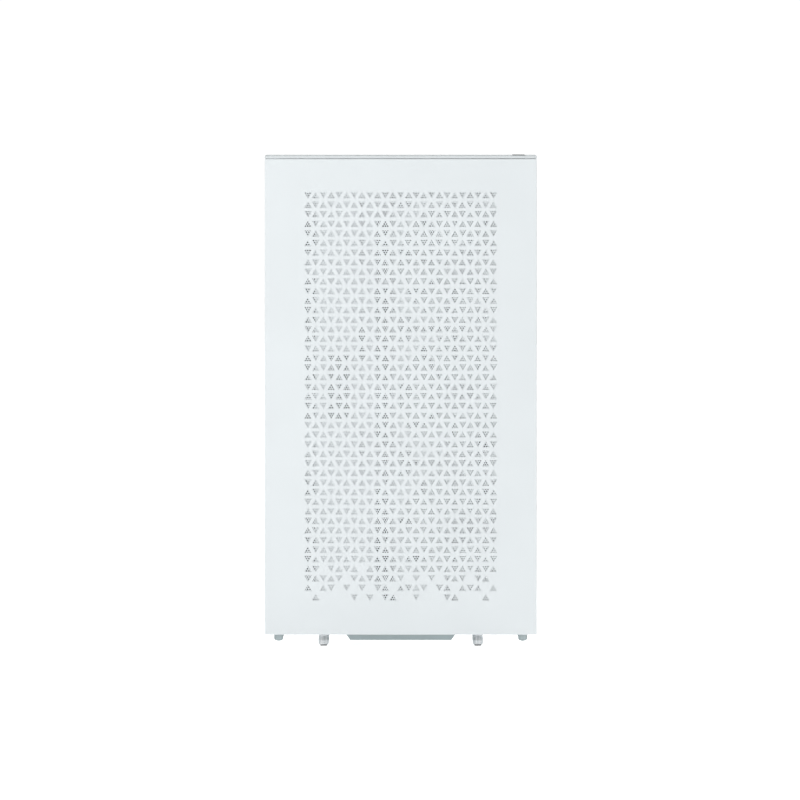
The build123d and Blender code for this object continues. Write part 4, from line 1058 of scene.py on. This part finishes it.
def make_cables():
    """Bundles of sleeved wires in the place of the plain tubes, with their plugs."""
    wires = Form()
    ties = Form()
    for points, radii, reach in BUNDLES:
        line = rounded(points, radii)
        strands(wires, line, seven(reach * 0.655), reach * 0.345, 0.4)
        for share in TIE_SHARES:
            index = round(share * (len(line) - 1))
            along = (line[index + 1] - line[index - 1]).normalized()
            ties.ring(line[index] - along * 1.2 * MM, along, (reach - 0.1) * MM,
                      (reach + 0.5) * MM, 2.4 * MM)
    leads = Form()
    for step, spot in enumerate(("low", "middle", "high")):
        low, high = corners(f"side_fan_{spot}_frame")
        z = (low.z + high.z) / 2 / MM - LEAD_DROP
        x = -9.0 - step * 4.0
        line = rounded([(-3.5, -70, z), (x, -70, z), (x, -70, LEAD_END)], [2.4], 5)
        strands(leads, line, LEAD_WIRES, 0.42, 0.0)
    plugs = Form()
    for low, high in islands("cables_and_fan_hub"):
        size = high - low
        if (max(size) >= LONGEST_PLUG or min(size) <= THINNEST_PLUG
                or size.x * size.y * size.z >= LARGEST_PLUG):
            continue
        plugs.box(low, high, 0.7 * MM)
        run = max(range(3), key=lambda k: size[k])
        count = int(size[run] / PLUG_RIB_PITCH)
        for k in range(1, count):
            rib_low = [c - 0.25 * MM for c in low]
            rib_high = [c + 0.25 * MM for c in high]
            at = low[run] + size[run] * k / count
            rib_low[run] = at - 0.45 * MM
            rib_high[run] = at + 0.45 * MM
            plugs.box(rib_low, rib_high, 0.15 * MM)
    for name, form, material in (
            ("sleeved_wires", wires, sleeve), ("cable_ties", ties, black_plastic),
            ("fan_leads", leads, sleeve), ("cable_plugs", plugs, black_plastic)):
        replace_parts(form.piece(name, material, "chassis", "cable"), "cables_and_fan_hub")


make_feet()
make_button()
make_screws()
make_jack_rings()
make_tongues()
make_fan_details()
make_board_parts()
make_card_trim()
make_cables()


# ---------------------------------------------------------------- stage, light, camera
def new_light(kind, name, direction, power):
    light = new_object(name, bpy.data.lights.new(name, kind))
    light.data.energy = power
    light.rotation_euler = Vector(direction).to_track_quat("-Z", "Y").to_euler()
    return light


def area_light(name, place, target, size, power):
    light = new_light("AREA", name, Vector(target) - Vector(place), power)
    light.location = place
    light.data.shape = "DISK"
    light.data.size = size


def sun_light(name, direction, strength, softness):
    """Sun that isn't itself mirrored in the shiny pieces."""
    light = new_light("SUN", name, direction, strength)
    light.visible_glossy = False
    light.data.angle = math.radians(softness)


def make_stage():
    """Plain near-white floor that reads as an endless ground."""
    reach = 30.0
    mesh = bpy.data.meshes.new("floor")
    corners_xy = ((-reach, -reach), (reach, -reach), (reach, reach), (-reach, reach))
    mesh.from_pydata([(x, y, 0) for x, y in corners_xy], [], [(0, 1, 2, 3)])
    s = Shader("floor_white", (0.92, 0.92, 0.92), 0.9)
    s.main.inputs["Specular IOR Level"].default_value = 0.0
    s.main.inputs["Emission Color"].default_value = (1, 1, 1, 1)
    # The floor is seen a little brighter than it lights the object.
    seen = s.add("ShaderNodeLightPath").outputs["Is Camera Ray"]
    s.link(s.span(seen, 0.3, 0.78), s.main.inputs["Emission Strength"])
    mesh.materials.append(s.material)
    new_object("floor", mesh)


def make_world():
    world = bpy.data.worlds.new("studio")
    world.use_nodes = True
    tree = world.node_tree
    background = tree.nodes["Background"]
    background.inputs["Color"].default_value = (0.96, 1.0, 1.01, 1)
    # A light wall stands behind the object.
    sky = tree.nodes.new("ShaderNodeTexCoord")
    parts = tree.nodes.new("ShaderNodeSeparateXYZ")
    wall = tree.nodes.new("ShaderNodeMapRange")
    wall.inputs["From Min"].default_value = -0.1
    wall.inputs["From Max"].default_value = 0.6
    wall.inputs["To Min"].default_value = 0.22
    wall.inputs["To Max"].default_value = 0.85
    tree.links.new(sky.outputs["Generated"], parts.inputs["Vector"])
    tree.links.new(parts.outputs["Y"], wall.inputs["Value"])
    tree.links.new(wall.outputs["Result"], background.inputs["Strength"])
    # The camera sees plain white there.
    seen = tree.nodes.new("ShaderNodeBackground")
    seen.inputs["Color"].default_value = (1.0, 1.0, 1.0, 1)
    seen.inputs["Strength"].default_value = 1.05
    path = tree.nodes.new("ShaderNodeLightPath")
    mix = tree.nodes.new("ShaderNodeMixShader")
    output = tree.nodes["World Output"]
    tree.links.new(path.outputs["Is Camera Ray"], mix.inputs["Fac"])
    tree.links.new(background.outputs["Background"], mix.inputs[1])
    tree.links.new(seen.outputs["Background"], mix.inputs[2])
    tree.links.new(mix.outputs["Shader"], output.inputs["Surface"])
    bpy.context.scene.world = world


def make_camera():
    """Very long lens square on to the left panel, just high enough to graze the top cover."""
    distance = 30.0
    sensor = 36.0
    frame_width = 0.7469
    middle = -0.0007
    middle_height = 0.2297
    rise = cad_box[1][2] + distance * math.tan(math.radians(0.2)) - middle_height
    data = bpy.data.cameras.new("camera")
    data.sensor_width = sensor
    data.lens = sensor * distance / frame_width
    data.clip_end = 100.0
    camera = new_object("camera", data)
    panel_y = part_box("left_panel")[0][1]
    camera.location = (middle, panel_y - distance, middle_height + rise)
    camera.rotation_euler = (math.pi / 2 - math.atan2(rise, distance), 0, 0)
    bpy.context.scene.camera = camera


make_stage()
make_world()
make_camera()
sun_light("front_flash", (0, 1, -0.02), 1.2, 1.5)
area_light("key", (-2.2, -3.0, 2.6), (0, 0, 0.25), 2.5, 1.5)
area_light("side_key", (-0.8, -1.05, 0.6), (-0.1, 0, 0.24), 0.7, 2.6)
area_light("overhead", (0.3, 0.4, 3.0), (0, 0, 0.4), 2.0, 14)
area_light("back_fill", (2.4, 3.2, 2.4), (0, 0, 0.25), 3.0, 25)
bpy.context.scene.view_settings.view_transform = "Standard"
